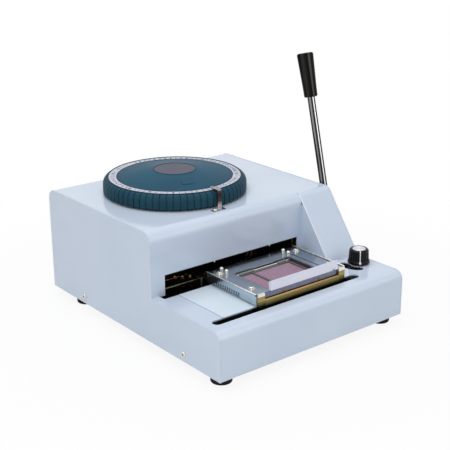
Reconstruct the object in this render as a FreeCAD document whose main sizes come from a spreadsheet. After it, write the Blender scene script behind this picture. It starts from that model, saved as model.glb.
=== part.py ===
import FreeCAD, Part
import math
import os

import Sketcher

# A manual card embosser: a sheet-steel housing with a character dial on top, a lever on its
# right side and a card carriage on its front deck. Lengths are in millimetres. The pieces are
# laid out from the middle of the housing's front edge: x to the right, y to the back, z up
# from the housing's lower edge. origin_x, origin_y and foot_height carry that to the part's
# own origin, the middle of its outline on the table.
DIMENSIONS = dict(
    origin_x=-9.75,
    origin_y=-186.5,
    foot_height=11,
    # Housing sheet
    body_width=300,
    body_depth=373,
    top_height=141.5,
    deck_height=59.3,
    step_y=133.3,
    sheet=1.5,
    deck_bend=11,
    top_bend=14,
    panel_reveal=0.4,
    spindle_hole=16,
    window_left=-129,
    window_right=88,
    window_top=84.2,
    rear_slot_left=-138.5,
    rear_slot_right=93.5,
    rear_slot_front=121.5,
    front_slot_left=-137,
    front_slot_right=96.7,
    front_slot_y=28.5,
    front_slot_half=6.1,
    shroud_x=95.4,
    shroud_foot_y=79.3,
    shroud_top_y=139.1,
    table_left=-117.5,
    table_right=74,
    table_front=33.6,
    table_rear=120.5,
    table_thick=1.2,
    # Base and fasteners
    tray_low=0.5,
    tray_thick=2,
    tray_gap=0.3,
    flange_height=20,
    foot_x=132,
    foot_front=20,
    foot_rear=318,
    foot_radius=13,
    foot_recess=5,
    side_screw_front=68,
    side_screw_rear=291,
    side_screw_height=10,
    screw_head=4,
    screw_head_height=2.2,
    screw_shank=2,
    screw_length=7,
    screw_gap=0.2,
    # Dial, spindle and type wheels
    wheel_x=-21.5,
    wheel_y=258,
    spindle_radius=8,
    bore_gap=0.05,
    dial_radius=96.3,
    dial_gap=3,
    dial_wall=3,
    skirt_height=12.5,
    skirt_shoulder=9.67,
    ring_height=21.9,
    ring_recess=1,
    ring_outer=88.5,
    ring_inner=78.1,
    disc_radius=28,
    disc_height=30,
    disc_thick=0.8,
    hub_radius=18,
    hub_top=24,
    rib_count=68,
    rib_groove=0.8,
    rib_depth=1.2,
    wheel_radius=108,
    station_radius=102,
    type_wide=2.2,
    type_long=4,
    type_gap=0.1,
    wheel_thick=10,
    lower_wheel_z=46,
    upper_wheel_z=85,
    sleeve_radius=20,
    sleeve_drop=12,
    die_low=44,
    die_tip=60.2,
    punch_tip=82.8,
    punch_top=97,
    index_radius=58,
    index_z=100,
    index_thick=3.5,
    detent_pivot=67,
    detent_gap=0.4,
    pointer_x=-23.5,
    pointer_screw_x=-35.5,
    # Frame inside the housing
    frame_left=-140,
    frame_right=100,
    frame_thick=5,
    frame_front=141,
    frame_rear=366,
    frame_top=136,
    beam_front=143,
    beam_rear=170,
    upper_beam_z=99,
    lower_beam_z=32,
    beam_thick=7,
    bridge_z=108,
    bridge_thick=8,
    bridge_half=32,
    bearing_radius=12,
    # Drive shafts, lever and plungers
    shaft_y=156,
    upper_shaft_z=120,
    lower_shaft_z=18,
    shaft_radius=6,
    shaft_left=-141.5,
    bush_radius=9,
    bush_gap=0.04,
    cam_radius=11,
    cam_offset=4,
    cam_half=8,
    half_stroke=35,
    crank_reach=14,
    crank_x=108,
    crank_thick=6,
    crank_pin=3,
    link_thick=4,
    link_eye=6.5,
    plunger_radius=8,
    upper_plunger_low=102,
    upper_plunger_high=110.9,
    lower_plunger_low=27.1,
    lower_plunger_high=39,
    lever_x=161,
    lever_lean=13.8,
    lever_hub_radius=9.5,
    lever_hub_half=6.5,
    shaft_end=8.5,
    lever_rod=5.2,
    grip_low=139,
    grip_high=199,
    grip_bottom_radius=9.2,
    grip_top_radius=11.2,
    flute_count=6,
    flute_radius=5,
    flute_floor=9.5,
    # Card carriage
    rod_front=45,
    rod_rear=105,
    rod_z=38,
    rod_radius=4,
    bracket_thick=5,
    web_low=46,
    web_thick=2,
    web_half=60,
    lip_left=-70,
    lip_right=72,
    lip_front=27.3,
    lip_thick=2.4,
    lip_low_top=67.5,
    lip_high_top=77,
    lip_tab=10,
    lip_roll=22,
    upright_y=124.5,
    rail_left=-66,
    rail_right=61,
    rail_wide=7,
    rail_low=62,
    rail_high=63.6,
    rail_rear=186,
    rack_y=75,
    rack_teeth=36,
    rack_pitch=2.54,
    # Card holder and clamp
    holder_left=-72,
    holder_right=75,
    holder_front=30.2,
    holder_rear=126,
    holder_low=61.9,
    holder_high=75.7,
    holder_sheet=1.4,
    holder_hem=1.1,
    holder_inset=2,
    holder_front_low=66,
    holder_slit_x=53,
    holder_slit_half=0.9,
    holder_window_left=-48,
    holder_window_right=45,
    holder_window_front=36,
    holder_window_rear=102,
    comb_front=63,
    comb_gap=2.1,
    comb_pitch=4.27,
    comb_teeth=12,
    comb_low=60.9,
    comb_high=68.4,
    bed_left=-65,
    bed_right=68,
    bed_low=63.9,
    bed_high=70,
    card_long=85.6,
    card_wide=53.98,
    card_thick=0.76,
    card_corner=3.18,
    card_x=-1.5,
    card_rear=97.5,
    corner_screw_left=-62.5,
    corner_screw_right=65,
    corner_screw_front=49,
    corner_screw_rear=110,
    dome_left=-54.5,
    dome_right=48,
    dome_front=106.5,
    dome_rear=116.5,
    dome_radius=2.4,
    dome_height=5.6,
    clamp_low=71,
    clamp_thick=1,
    clamp_pin_y=99.6,
    clamp_pin_z=72.5,
    clamp_pin_radius=0.9,
    clamp_left=-44,
    clamp_right=41,
    flap_left=-47.5,
    flap_right=61.4,
    flap_y=29.2,
    flap_lean=1,
    flap_crest=88,
    flap_return=4,
    # Pitch selector
    selector_x=128.5,
    selector_y=57.5,
    selector_slot_radius=19.5,
    selector_slot_half=7,
    selector_slot_middle=190,
    selector_slot_sweep=33,
    selector_pin=3.6,
    selector_lift=1,
    selector_spindle=3,
    knob_flange=14.5,
    knob_radius=13,
    knob_height=19.4,
    knob_cap=8.75,
    knob_flutes=14,
)

document = FreeCAD.newDocument("card_embosser")
table = document.addObject("Spreadsheet::Sheet", "Dim")
for row, (alias, number) in enumerate(DIMENSIONS.items(), start=1):
    table.set(f"A{row}", alias)
    table.set(f"B{row}", str(number))
    table.setAlias(f"B{row}", alias)
document.recompute()


class Size:
    """A length that holds its number and the spreadsheet expression it comes from."""

    def __init__(self, value, text):
        self.value = value
        self.text = text

    def __add__(self, other):
        other = as_size(other)
        return Size(self.value + other.value, f"({self.text} + {other.text})")

    def __sub__(self, other):
        other = as_size(other)
        return Size(self.value - other.value, f"({self.text} - {other.text})")

    def __rsub__(self, other):
        return as_size(other) - self

    def __mul__(self, factor):
        return Size(self.value * factor, f"({self.text} * {factor:.6f})")

    def __truediv__(self, factor):
        return self * (1 / factor)

    def __neg__(self):
        return self * -1

    __radd__ = __add__
    __rmul__ = __mul__


def as_size(length):
    return length if isinstance(length, Size) else Size(float(length), f"{length:.6f}")


class Dimensions:
    """Every cell of the sheet, by its alias."""

    def __getattr__(self, alias):
        return Size(float(table.get(alias)), f"Dim.{alias}")


D = Dimensions()


def bind(thing, name, length):
    length = as_size(length)
    thing.setExpression(name, length.text)


def sine(degrees):
    return math.sin(math.radians(degrees.value))


def cosine(degrees):
    return math.cos(math.radians(degrees.value))


# Sketches and features
def new_body(label, at=(0, 0, 0), turn=None):
    """A body at a place in the housing, given in millimetres from the housing's front edge."""
    body = document.addObject("PartDesign::Body", label)
    body.Label = label
    if turn is not None:
        body.Placement = FreeCAD.Placement(FreeCAD.Vector(), turn)
    shift = (D.origin_x, D.origin_y, D.foot_height)
    for axis, start, offset in zip("xyz", shift, at):
        bind(body, f"Placement.Base.{axis}", start + offset)
    return body


def pin_down(sketch, kind, geometry, end, length):
    """Tie one coordinate of a point to the sheet."""
    length = as_size(length)
    rule = Sketcher.Constraint(kind, -1, 1, geometry, end, length.value)
    number = sketch.addConstraint(rule)
    sketch.setExpression(f"Constraints[{number}]", length.text)


def set_radius(sketch, geometry, radius):
    radius = as_size(radius)
    if radius.value < 0:
        radius = -radius
    number = sketch.addConstraint(Sketcher.Constraint("Radius", geometry, radius.value))
    sketch.setExpression(f"Constraints[{number}]", radius.text)


def flat_point(corner):
    return FreeCAD.Vector(as_size(corner[0]).value, as_size(corner[1]).value, 0)


def arc_between(start, end, radius):
    """The short arc from start to end, centred on its left, or on its right if radius is negative."""
    middle = (start + end) / 2
    chord = end - start
    side = FreeCAD.Vector(-chord.y, chord.x, 0).normalize()
    if radius < 0:
        side = side * -1
    centre = middle + side * math.sqrt(radius**2 - (chord.Length / 2) ** 2)
    crown = centre + (middle - centre).normalize() * abs(radius)
    return Part.Arc(start, crown, end)


def add_outline(sketch, corners):
    """A closed outline; a corner with a third value starts an arc of that radius."""
    ends = []
    for this, following in zip(corners, corners[1:] + corners[:1]):
        start = flat_point(this)
        end = flat_point(following)
        if len(this) == 3:
            edge = arc_between(start, end, as_size(this[2]).value)
        else:
            edge = Part.LineSegment(start, end)
        number = sketch.addGeometry(edge, False)
        swapped = sketch.getPoint(number, 1).distanceToPoint(start) > 1e-6
        ends.append((number, 2, 1) if swapped else (number, 1, 2))
    for place, corner in enumerate(corners):
        number, head, tail = ends[place]
        before = ends[place - 1]
        sketch.addConstraint(Sketcher.Constraint("Coincident", before[0], before[2], number, head))
        pin_down(sketch, "DistanceX", number, head, corner[0])
        pin_down(sketch, "DistanceY", number, head, corner[1])
    for place, corner in enumerate(corners):
        if len(corner) == 3:
            set_radius(sketch, ends[place][0], corner[2])


def add_circle(sketch, u, v, radius):
    centre = flat_point((u, v))
    circle = Part.Circle(centre, FreeCAD.Vector(0, 0, 1), as_size(radius).value)
    number = sketch.addGeometry(circle, False)
    pin_down(sketch, "DistanceX", number, 3, u)
    pin_down(sketch, "DistanceY", number, 3, v)
    set_radius(sketch, number, radius)


def draw(body, plane, level, loops):
    """Closed loops on one of the body's planes: outlines as lists, circles as (u, v, radius)."""
    sketch = body.newObject("Sketcher::SketchObject", f"{body.Label}_sketch")
    face = next(item for item in body.Origin.OriginFeatures if item.Role == f"{plane}_Plane")
    sketch.AttachmentSupport = [(face, "")]
    sketch.MapMode = "FlatFace"
    bind(sketch, "AttachmentOffset.Base.z", -as_size(level) if plane == "XZ" else level)
    for loop in loops:
        if isinstance(loop, list):
            add_outline(sketch, loop)
        else:
            add_circle(sketch, *loop)
    return sketch


def add(body, plane, start, length, loops):
    """Pad loops from start along the plane's positive axis."""
    feature = body.newObject("PartDesign::Pad", f"{body.Label}_pad")
    feature.Profile = draw(body, plane, start, loops)
    bind(feature, "Length", length)
    feature.Reversed = plane == "XZ"
    document.recompute()
    return feature


def cut(body, plane, start, depth, loops):
    """Pocket loops from start: downwards on XY, backwards on XZ and to the left on YZ."""
    before = body.Shape.Volume
    feature = body.newObject("PartDesign::Pocket", f"{body.Label}_pocket")
    feature.Profile = draw(body, plane, start, loops)
    bind(feature, "Length", depth)
    document.recompute()
    if body.Shape.Volume > before - 1e-6:
        raise ValueError(f"a pocket of {body.Label} removes nothing")
    return feature


def extrude(label, plane, start, length, loops, at=(0, 0, 0), turn=None):
    body = new_body(label, at, turn)
    add(body, plane, start, length, loops)
    return body


def revolve(label, profile, at, axis="V_Axis", turn=None):
    """A turned piece: (radius, height) about Z, or (length, radius) about X with H_Axis."""
    body = new_body(label, at, turn)
    feature = body.newObject("PartDesign::Revolution", f"{label}_turning")
    feature.Profile = draw(body, "XZ", 0, [profile])
    feature.ReferenceAxis = (feature.Profile[0], [axis])
    feature.Angle = 360
    document.recompute()
    return body


def repeat_round(body, features, count):
    """Repeat features evenly about the body's own Z axis."""
    pattern = body.newObject("PartDesign::PolarPattern", f"{body.Label}_ring")
    pattern.Originals = features
    axis = next(item for item in body.Origin.OriginFeatures if item.Role == "Z_Axis")
    pattern.Axis = (axis, [""])
    pattern.Angle = 360
    bind(pattern, "Occurrences", count)
    body.Tip = pattern
    document.recompute()


def repeat_along(body, features, axis_role, spacing, count):
    """Repeat features along one of the body's axes."""
    pattern = body.newObject("PartDesign::LinearPattern", f"{body.Label}_row")
    pattern.Originals = features
    axis = next(item for item in body.Origin.OriginFeatures if item.Role == axis_role)
    pattern.Direction = (axis, [""])
    bind(pattern, "Length", spacing * (count.value - 1))
    bind(pattern, "Occurrences", count)
    body.Tip = pattern
    document.recompute()


def round_edges(body, radius, chosen):
    """Fillet the edges whose middle point is chosen."""
    shape = body.Tip.Shape
    names = []
    for number, edge in enumerate(shape.Edges, start=1):
        middle = edge.valueAt((edge.FirstParameter + edge.LastParameter) / 2)
        if chosen(middle, edge):
            names.append(f"Edge{number}")
    feature = body.newObject("PartDesign::Fillet", f"{body.Label}_fillet")
    feature.Base = (body.Tip if body.Tip != feature else feature.BaseFeature, names)
    bind(feature, "Radius", radius)
    document.recompute()
    return feature


def near(value, size, slack=0.05):
    return abs(value - as_size(size).value) < slack


def box(left, right, front, rear):
    return [(left, front), (right, front), (right, rear), (left, rear)]


def slot(left, right, middle, half):
    """A round-ended slot that runs along the first axis."""
    return [
        (left + half, middle - half),
        (right - half, middle - half, half * 1.0001),
        (right - half, middle + half),
        (left + half, middle + half, half * 1.0001),
    ]


# Housing
inner_left = -(D.body_width / 2) + D.sheet
inner_right = D.body_width / 2 - D.sheet
top_start = D.step_y + D.top_bend


def bend(y, z):
    """Chooses the bent edge at one corner of a side view."""
    return lambda middle, edge: near(middle.y, y) and near(middle.z, z) and edge.Length > 20


def on_selector(radius, degrees):
    """A point on the deck around the selector knob."""
    turn = math.radians(degrees)
    return (D.selector_x + radius * math.cos(turn), D.selector_y + radius * math.sin(turn))


def kidney_slot():
    """A curved slot around the selector knob, for the pin of its arm."""
    half = D.selector_slot_half
    inside = D.selector_slot_radius - half
    outside = D.selector_slot_radius + half
    first = D.selector_slot_middle.value - D.selector_slot_sweep.value
    last = D.selector_slot_middle.value + D.selector_slot_sweep.value
    middle = D.selector_slot_middle.value
    return [
        (*on_selector(outside, first), outside),
        (*on_selector(outside, middle), outside),
        (*on_selector(outside, last), half * 1.0001),
        (*on_selector(inside, last), -inside),
        (*on_selector(inside, middle), -inside),
        (*on_selector(inside, first), half * 1.0001),
    ]


def make_housing_cover():
    """Bent sheet over the front, deck, step, top and back, open at both sides."""
    inside = D.sheet
    outline = [
        (0, 0),
        (0, D.deck_height),
        (D.step_y, D.deck_height),
        (D.step_y, D.top_height),
        (D.body_depth, D.top_height),
        (D.body_depth, 0),
        (D.body_depth - inside, 0),
        (D.body_depth - inside, D.top_height - inside),
        (D.step_y + inside, D.top_height - inside),
        (D.step_y + inside, D.deck_height - inside),
        (inside, D.deck_height - inside),
        (inside, 0),
    ]
    cover = extrude("housing_cover", "YZ", inner_left, inner_right - inner_left, [outline])
    round_edges(cover, D.deck_bend, bend(0, D.deck_height))
    round_edges(cover, D.deck_bend - inside, bend(inside, D.deck_height - inside))
    round_edges(cover, D.top_bend, bend(D.step_y, D.top_height))
    round_edges(cover, D.top_bend - inside, bend(D.step_y + inside, D.top_height - inside))
    round_edges(cover, D.top_bend, bend(D.body_depth, D.top_height))
    back_inside = D.body_depth - inside
    round_edges(cover, D.top_bend - inside, bend(back_inside, D.top_height - inside))
    above = D.deck_height + 1
    through = D.sheet + 2
    rear_slot = box(D.rear_slot_left, D.rear_slot_right, D.rear_slot_front, D.step_y)
    front_slot = slot(D.front_slot_left, D.front_slot_right, D.front_slot_y, D.front_slot_half)
    spindle_bore = (D.selector_x, D.selector_y, D.selector_spindle + D.bush_gap)
    cut(cover, "XY", above, through, [rear_slot, front_slot, kidney_slot(), spindle_bore])
    window = box(D.window_left, D.window_right, D.deck_height - through, D.window_top)
    cut(cover, "XZ", D.step_y - 0.01, D.sheet + 0.02, [window])
    lever_bay = box(D.shroud_x, inner_right, D.deck_height, D.top_height + 1)
    cut(cover, "XZ", D.step_y - 1, D.top_bend + 1, [lever_bay])
    above_top = D.top_height + 1
    cut(cover, "XY", above_top, through, [(D.wheel_x, D.wheel_y, D.spindle_hole)])


def make_lever_shroud():
    """Sloped sheet over the lever bay with a triangular wall on its left."""
    rise = D.top_height.value - D.deck_height.value
    run = D.shroud_top_y.value - D.shroud_foot_y.value
    along = D.sheet * (math.hypot(rise, run) / rise)
    top_inside_y = D.shroud_top_y + along - D.sheet * (run / rise)
    outline = [
        (D.shroud_foot_y, D.deck_height),
        (D.shroud_top_y, D.top_height),
        (top_start, D.top_height),
        (top_start, D.top_height - D.sheet),
        (top_inside_y, D.top_height - D.sheet),
        (D.shroud_foot_y + along, D.deck_height),
    ]
    width = inner_right - D.shroud_x
    shroud = extrude("lever_shroud", "YZ", D.shroud_x, width, [outline])
    round_edges(shroud, D.top_bend * 0.8, bend(D.shroud_top_y, D.top_height))
    round_edges(shroud, D.top_bend * 0.8 - D.sheet, bend(top_inside_y, D.top_height - D.sheet))
    wall_rear = D.step_y + D.sheet
    wall_top = D.top_height - D.top_bend
    fraction = (wall_top.value - D.deck_height.value) / rise
    wall = [
        (D.shroud_foot_y + along * 0.5, D.deck_height),
        (D.shroud_foot_y + along * 0.5 + run * fraction, wall_top),
        (wall_rear, wall_top),
        (wall_rear, D.deck_height),
    ]
    add(shroud, "YZ", D.shroud_x, D.sheet, [wall])


def side_outline(step_corners):
    reveal = D.panel_reveal
    return [
        (-reveal, 0),
        (-reveal, D.deck_height + reveal),
        *step_corners,
        (D.body_depth + reveal, D.top_height + reveal),
        (D.body_depth + reveal, 0),
    ]


def make_side_panels():
    """Flat side plates with the housing's outline, standing a little proud of its bends."""
    reveal = D.panel_reveal
    deck = D.deck_height + reveal
    top = D.top_height + reveal
    holes = [
        (D.side_screw_front, D.side_screw_height, D.screw_shank + D.screw_gap),
        (D.side_screw_rear, D.side_screw_height, D.screw_shank + D.screw_gap),
    ]
    step = [(D.step_y - reveal, deck), (D.step_y - reveal, top)]
    loops = [side_outline(step), *holes]
    left = extrude("left_side_panel", "YZ", -(D.body_width / 2), D.sheet, loops)
    slope = [(D.shroud_foot_y - reveal, deck), (D.shroud_top_y - reveal, top)]
    bearing = (D.shaft_y, D.upper_shaft_z, D.bush_radius)
    loops = [side_outline(slope), *holes, bearing]
    right = extrude("right_side_panel", "YZ", inner_right, D.sheet, loops)
    for panel, step_corner in ((left, D.step_y), (right, D.shroud_top_y)):
        corner_radius = D.top_bend if panel is left else D.top_bend * 0.8
        front = -reveal
        rear = D.body_depth + reveal
        plate_edge = lambda y, z: lambda middle, edge: near(middle.y, y) and near(middle.z, z)
        round_edges(panel, D.deck_bend, plate_edge(front, deck))
        round_edges(panel, corner_radius, plate_edge(step_corner - reveal, top))
        round_edges(panel, D.top_bend, plate_edge(rear, top))


def make_base():
    """Folded base plate with side flanges, rubber feet and the housing's side screws."""
    outer = inner_right - D.tray_gap
    inner = outer - D.tray_thick
    floor = D.tray_low + D.tray_thick
    profile = [
        (-outer, D.tray_low),
        (outer, D.tray_low),
        (outer, D.flange_height),
        (inner, D.flange_height),
        (inner, floor),
        (-inner, floor),
        (-inner, D.flange_height),
        (-outer, D.flange_height),
    ]
    front = D.sheet + D.tray_gap
    tray = extrude("base_plate", "XZ", front, D.body_depth - front * 2, [profile])
    screw_hole = D.screw_shank + D.screw_gap
    holes = [
        (D.side_screw_front, D.side_screw_height, screw_hole),
        (D.side_screw_rear, D.side_screw_height, screw_hole),
    ]
    cut(tray, "YZ", outer + 1, D.body_width, holes)

    places = [(x, y) for x in (-D.foot_x, D.foot_x) for y in (D.foot_front, D.foot_rear)]
    circles = [(x, y, D.foot_radius) for x, y in places]
    feet = extrude("rubber_feet", "XY", -D.foot_height, D.foot_height + D.tray_low, circles)
    lowest = -D.foot_height.value
    round_edges(feet, 2, lambda middle, edge: near(middle.z, lowest))
    recess_depth = D.foot_height / 2
    recesses = [(x, y, D.foot_recess) for x, y in places]
    cut(feet, "XY", -D.foot_height + recess_depth, recess_depth, recesses)

    left = -(D.body_width / 2)
    heads = [(y, D.side_screw_height, D.screw_head) for y in (D.side_screw_front, D.side_screw_rear)]
    shanks = [(y, z, D.screw_shank) for y, z, radius in heads]
    screws = new_body("side_screws")
    head = add(screws, "YZ", left - D.screw_head_height, D.screw_head_height, heads)
    outside = (left - D.screw_head_height).value
    head_round = round_edges(screws, 1.2, lambda middle, edge: near(middle.x, outside))
    shank = add(screws, "YZ", left, D.screw_length, shanks)
    copy = screws.newObject("PartDesign::Mirrored", "side_screws_mirror")
    copy.TransformMode = "Whole shape"
    plane = next(item for item in screws.Origin.OriginFeatures if item.Role == "YZ_Plane")
    copy.MirrorPlane = (plane, [""])
    screws.Tip = copy
    document.recompute()

    plate = box(D.table_left, D.table_right, D.table_front, D.table_rear)
    deck_plate = extrude("table_plate", "XY", D.deck_height, D.table_thick, [plate])
    crown = (D.deck_height + D.table_thick).value
    round_edges(deck_plate, D.table_thick * 0.7, lambda middle, edge: near(middle.z, crown))


# Dial, spindle and type wheels
wheel_axis = (D.wheel_x, D.wheel_y, 0)
bore = D.spindle_radius + D.bore_gap


def make_dial():
    """Moulded dial with a ribbed skirt, a seat for the character ring and a hub."""
    base = D.top_height
    low = base + D.dial_gap
    seat = base + D.ring_height - D.ring_recess
    disc_seat = base + D.disc_height - D.disc_thick
    profile = [
        (bore, low),
        (D.hub_radius, low),
        (D.hub_radius, disc_seat - D.dial_wall),
        (D.disc_radius, disc_seat - D.dial_wall),
        (D.ring_inner - 1, seat - D.dial_wall),
        (D.ring_outer, seat - D.dial_wall),
        (D.dial_radius - D.dial_wall, base + D.skirt_height - 1),
        (D.dial_radius - D.dial_wall, low),
        (D.dial_radius, low),
        (D.dial_radius, base + D.skirt_height, D.skirt_shoulder),
        (D.ring_outer + 0.4, base + D.ring_height),
        (D.ring_outer, base + D.ring_height),
        (D.ring_outer, seat),
        (D.ring_inner, seat),
        (D.ring_inner, base + D.ring_height),
        (D.disc_radius, base + D.disc_height),
        (D.disc_radius, disc_seat),
        (bore + 1.5, disc_seat),
        (bore + 1.5, base + D.hub_top),
        (bore, base + D.hub_top),
    ]
    dial = revolve("dial", profile, wheel_axis)
    inside = D.dial_radius - D.rib_depth
    groove = box(inside, D.dial_radius + 2, -D.rib_groove, D.rib_groove)
    notch = cut(dial, "XY", base + D.ring_height, D.ring_height - D.dial_gap + 1, [groove])
    repeat_round(dial, [notch], D.rib_count)

    gap = 0.1
    ring_loops = [(0, 0, D.ring_outer - gap), (0, 0, D.ring_inner + gap)]
    extrude("character_ring", "XY", seat, D.ring_recess - gap, ring_loops, wheel_axis)
    face = extrude("dial_disc", "XY", disc_seat, D.disc_thick, [(0, 0, D.disc_radius - gap)], wheel_axis)
    round_edges(face, 0.3, lambda middle, edge: near(middle.z, base + D.disc_height))
    under = [(0, 0, D.dial_radius - D.dial_wall - 1), (0, 0, bore)]
    extrude("dial_base_plate", "XY", base + 0.9, D.dial_gap - 0.9, under, wheel_axis)
    screw_top = base + D.hub_top + 3.5
    profile = [
        (0, base + D.hub_top - 14),
        (3, base + D.hub_top - 14),
        (3, base + D.hub_top),
        (7, base + D.hub_top),
        (7, screw_top - 1),
        (5, screw_top),
        (0, screw_top),
    ]
    revolve("dial_screw", profile, wheel_axis)


def make_spindle():
    foot = D.tray_low + D.tray_thick + 1
    end = D.top_height + D.hub_top - 0.2
    radius = D.spindle_radius
    profile = [
        (0, foot),
        (radius - 1, foot),
        (radius, foot + 1),
        (radius, end - 1),
        (radius - 1, end),
        (3.1, end),
        (3.1, end - 15),
        (0, end - 15),
    ]
    revolve("spindle", profile, wheel_axis)
    sleeve = [(0, 0, D.sleeve_radius), (0, 0, bore)]
    low = D.lower_wheel_z + D.wheel_thick
    spacers = extrude("wheel_sleeve", "XY", low, D.upper_wheel_z - low, sleeve, wheel_axis)
    add(spacers, "XY", D.lower_wheel_z - D.sleeve_drop, D.sleeve_drop, sleeve)


def make_type_wheel(label, low):
    """Round plate, dished on both sides, with a ring of windows for the type."""
    high = low + D.wheel_thick
    rim = D.station_radius - D.type_long * 3
    dish = D.wheel_thick * 0.3
    hub = D.sleeve_radius + 2
    profile = [
        (bore, low),
        (hub, low),
        (hub, low + dish),
        (rim - 2, low + dish),
        (rim, low),
        (D.wheel_radius, low),
        (D.wheel_radius, high),
        (rim, high),
        (rim - 2, high - dish),
        (hub, high - dish),
        (hub, high),
        (bore, high),
    ]
    wheel = revolve(label, profile, wheel_axis)
    wide = D.type_wide + D.type_gap
    deep = D.type_long + D.type_gap
    window = box(-wide, wide, -D.station_radius - deep, -D.station_radius + deep)
    hole = cut(wheel, "XY", high + 1, D.wheel_thick + 2, [window])
    repeat_round(wheel, [hole], D.rib_count)


def make_type(label, low, high, tip_low, tip_high):
    """A ring of separate type bars, each with a narrow character tip."""
    ring = new_body(label, wheel_axis)
    radius = D.station_radius
    bar = box(-D.type_wide, D.type_wide, -radius - D.type_long, -radius + D.type_long)
    tip = box(D.type_wide * -0.6, D.type_wide * 0.6, -radius - 2.2, -radius + 2.2)
    stem = add(ring, "XY", low, high - low, [bar])
    point = add(ring, "XY", tip_low, tip_high - tip_low, [tip])
    repeat_round(ring, [stem, point], D.rib_count)


def make_type_wheels():
    low = D.lower_wheel_z
    high = D.upper_wheel_z
    thick = D.wheel_thick
    make_type_wheel("lower_wheel", low)
    make_type_wheel("upper_wheel", high)
    step = 2.4
    make_type("lower_dies", D.die_low, D.die_tip - step, D.die_tip - step, D.die_tip)
    make_type("upper_punches", D.punch_tip + step, D.punch_top, D.punch_tip, D.punch_tip + step)

    profile = [
        (bore, high + thick),
        (D.sleeve_radius, high + thick),
        (D.sleeve_radius, D.index_z),
        (D.index_radius, D.index_z),
        (D.index_radius, D.index_z + D.index_thick),
        (bore, D.index_z + D.index_thick),
    ]
    index = revolve("index_plate", profile, wheel_axis)
    inside = D.index_radius - 1.6
    tooth = [(D.index_radius + 1, 1.9), (inside, 0), (D.index_radius + 1, -1.9)]
    notch = cut(index, "XY", D.index_z + D.index_thick + 1, D.index_thick + 2, [tooth])
    repeat_round(index, [notch], D.rib_count)


# Frame inside the housing
tray_floor = D.tray_low + D.tray_thick


def make_frame():
    """Two side plates, the press beams between them, the bridge and the bearings."""
    upper = (D.shaft_y, D.upper_shaft_z, D.bush_radius)
    lower = (D.shaft_y, D.lower_shaft_z, D.bush_radius)
    middle_y = (D.frame_front + D.frame_rear) / 2
    window = box(middle_y - 40, middle_y + 75, tray_floor + 22, D.frame_top - 50)
    outline = box(D.frame_front, D.frame_rear, tray_floor, D.frame_top)
    for label, left, flange_left in (
        ("left_frame_plate", D.frame_left, D.frame_left + D.frame_thick),
        ("right_frame_plate", D.frame_right, D.frame_right + D.frame_thick),
    ):
        plate = extrude(label, "YZ", left, D.frame_thick, [outline, upper, lower, window])
        foot = box(flange_left, flange_left + 10, D.frame_rear - 150, D.frame_rear - 4)
        add(plate, "XY", tray_floor, 3, [foot])
        corner = lambda middle, edge: near(middle.z, D.frame_top) and edge.Length < 6
        round_edges(plate, 10, corner)

    left = D.frame_left + D.frame_thick
    width = D.frame_right - left
    beam = box(left, left + width, D.beam_front, D.beam_rear)
    guide = (D.wheel_x, D.shaft_y, D.plunger_radius + D.bush_gap)
    extrude("upper_press_beam", "XY", D.upper_beam_z, D.beam_thick, [beam, guide])
    extrude("lower_press_beam", "XY", D.lower_beam_z, D.beam_thick, [beam, guide])
    front = D.wheel_y - D.bridge_half
    rear = D.wheel_y + D.bridge_half
    bridge = box(left, left + width, front, rear)
    seat = (D.wheel_x, D.wheel_y, D.bearing_radius)
    slab = extrude("bridge_plate", "XY", D.bridge_z, D.bridge_thick, [bridge, seat])
    post_x = D.wheel_x + D.detent_pivot
    post = (post_x, D.wheel_y, 3)
    add(slab, "XY", D.index_z - 2, D.bridge_z - D.index_z + 2, [post])

    flange = D.bridge_z + D.bridge_thick
    profile = [
        (D.spindle_radius + D.bush_gap, D.bridge_z),
        (D.bearing_radius, D.bridge_z),
        (D.bearing_radius, flange),
        (D.bearing_radius + 6, flange),
        (D.bearing_radius + 6, flange + 3),
        (D.spindle_radius + D.bush_gap, flange + 3),
    ]
    revolve("upper_bearing", profile, wheel_axis)
    profile = [
        (D.spindle_radius + D.bush_gap, tray_floor),
        (28, tray_floor),
        (28, tray_floor + 5),
        (16, tray_floor + 7),
        (14, D.lower_wheel_z - D.sleeve_drop - 0.5),
        (D.spindle_radius + D.bush_gap, D.lower_wheel_z - D.sleeve_drop - 0.5),
    ]
    revolve("lower_bearing", profile, wheel_axis)

    bushes = new_body("shaft_bushes")
    running = D.shaft_radius + D.bush_gap
    rings = []
    for height in (D.upper_shaft_z, D.lower_shaft_z):
        rings.append((D.shaft_y, height, D.bush_radius))
        rings.append((D.shaft_y, height, running))
    add(bushes, "YZ", D.frame_left, D.frame_thick, rings)
    add(bushes, "YZ", D.frame_right, D.frame_thick, rings)
    panel = rings[:2]
    add(bushes, "YZ", inner_right - 3, D.sheet + 3, panel)
    collar = [(D.shaft_y, D.upper_shaft_z, D.bush_radius + 4), panel[1]]
    add(bushes, "YZ", D.body_width / 2, 1.8, collar)


# Drive shafts, lever and plungers
def make_shafts():
    """Upper shaft with its cam, turned by the lever, and the lower shaft that follows it."""
    lean = D.half_stroke
    back = D.cam_offset * cosine(lean)
    drop = D.cam_offset * sine(lean)
    right = D.lever_x + D.shaft_end
    cam_left = D.wheel_x - D.cam_half
    lower_right = D.crank_x + D.crank_thick
    for label, height, end, cam in (
        ("drive_shaft", D.upper_shaft_z, right, (-back, drop)),
        ("lower_shaft", D.lower_shaft_z, lower_right, (back, -drop)),
    ):
        place = (0, D.shaft_y, height)
        rod = (0, 0, D.shaft_radius)
        shaft = extrude(label, "YZ", D.shaft_left, end - D.shaft_left, [rod], place)
        add(shaft, "YZ", cam_left, D.cam_half * 2, [(cam[0], cam[1], D.cam_radius)])


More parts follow.
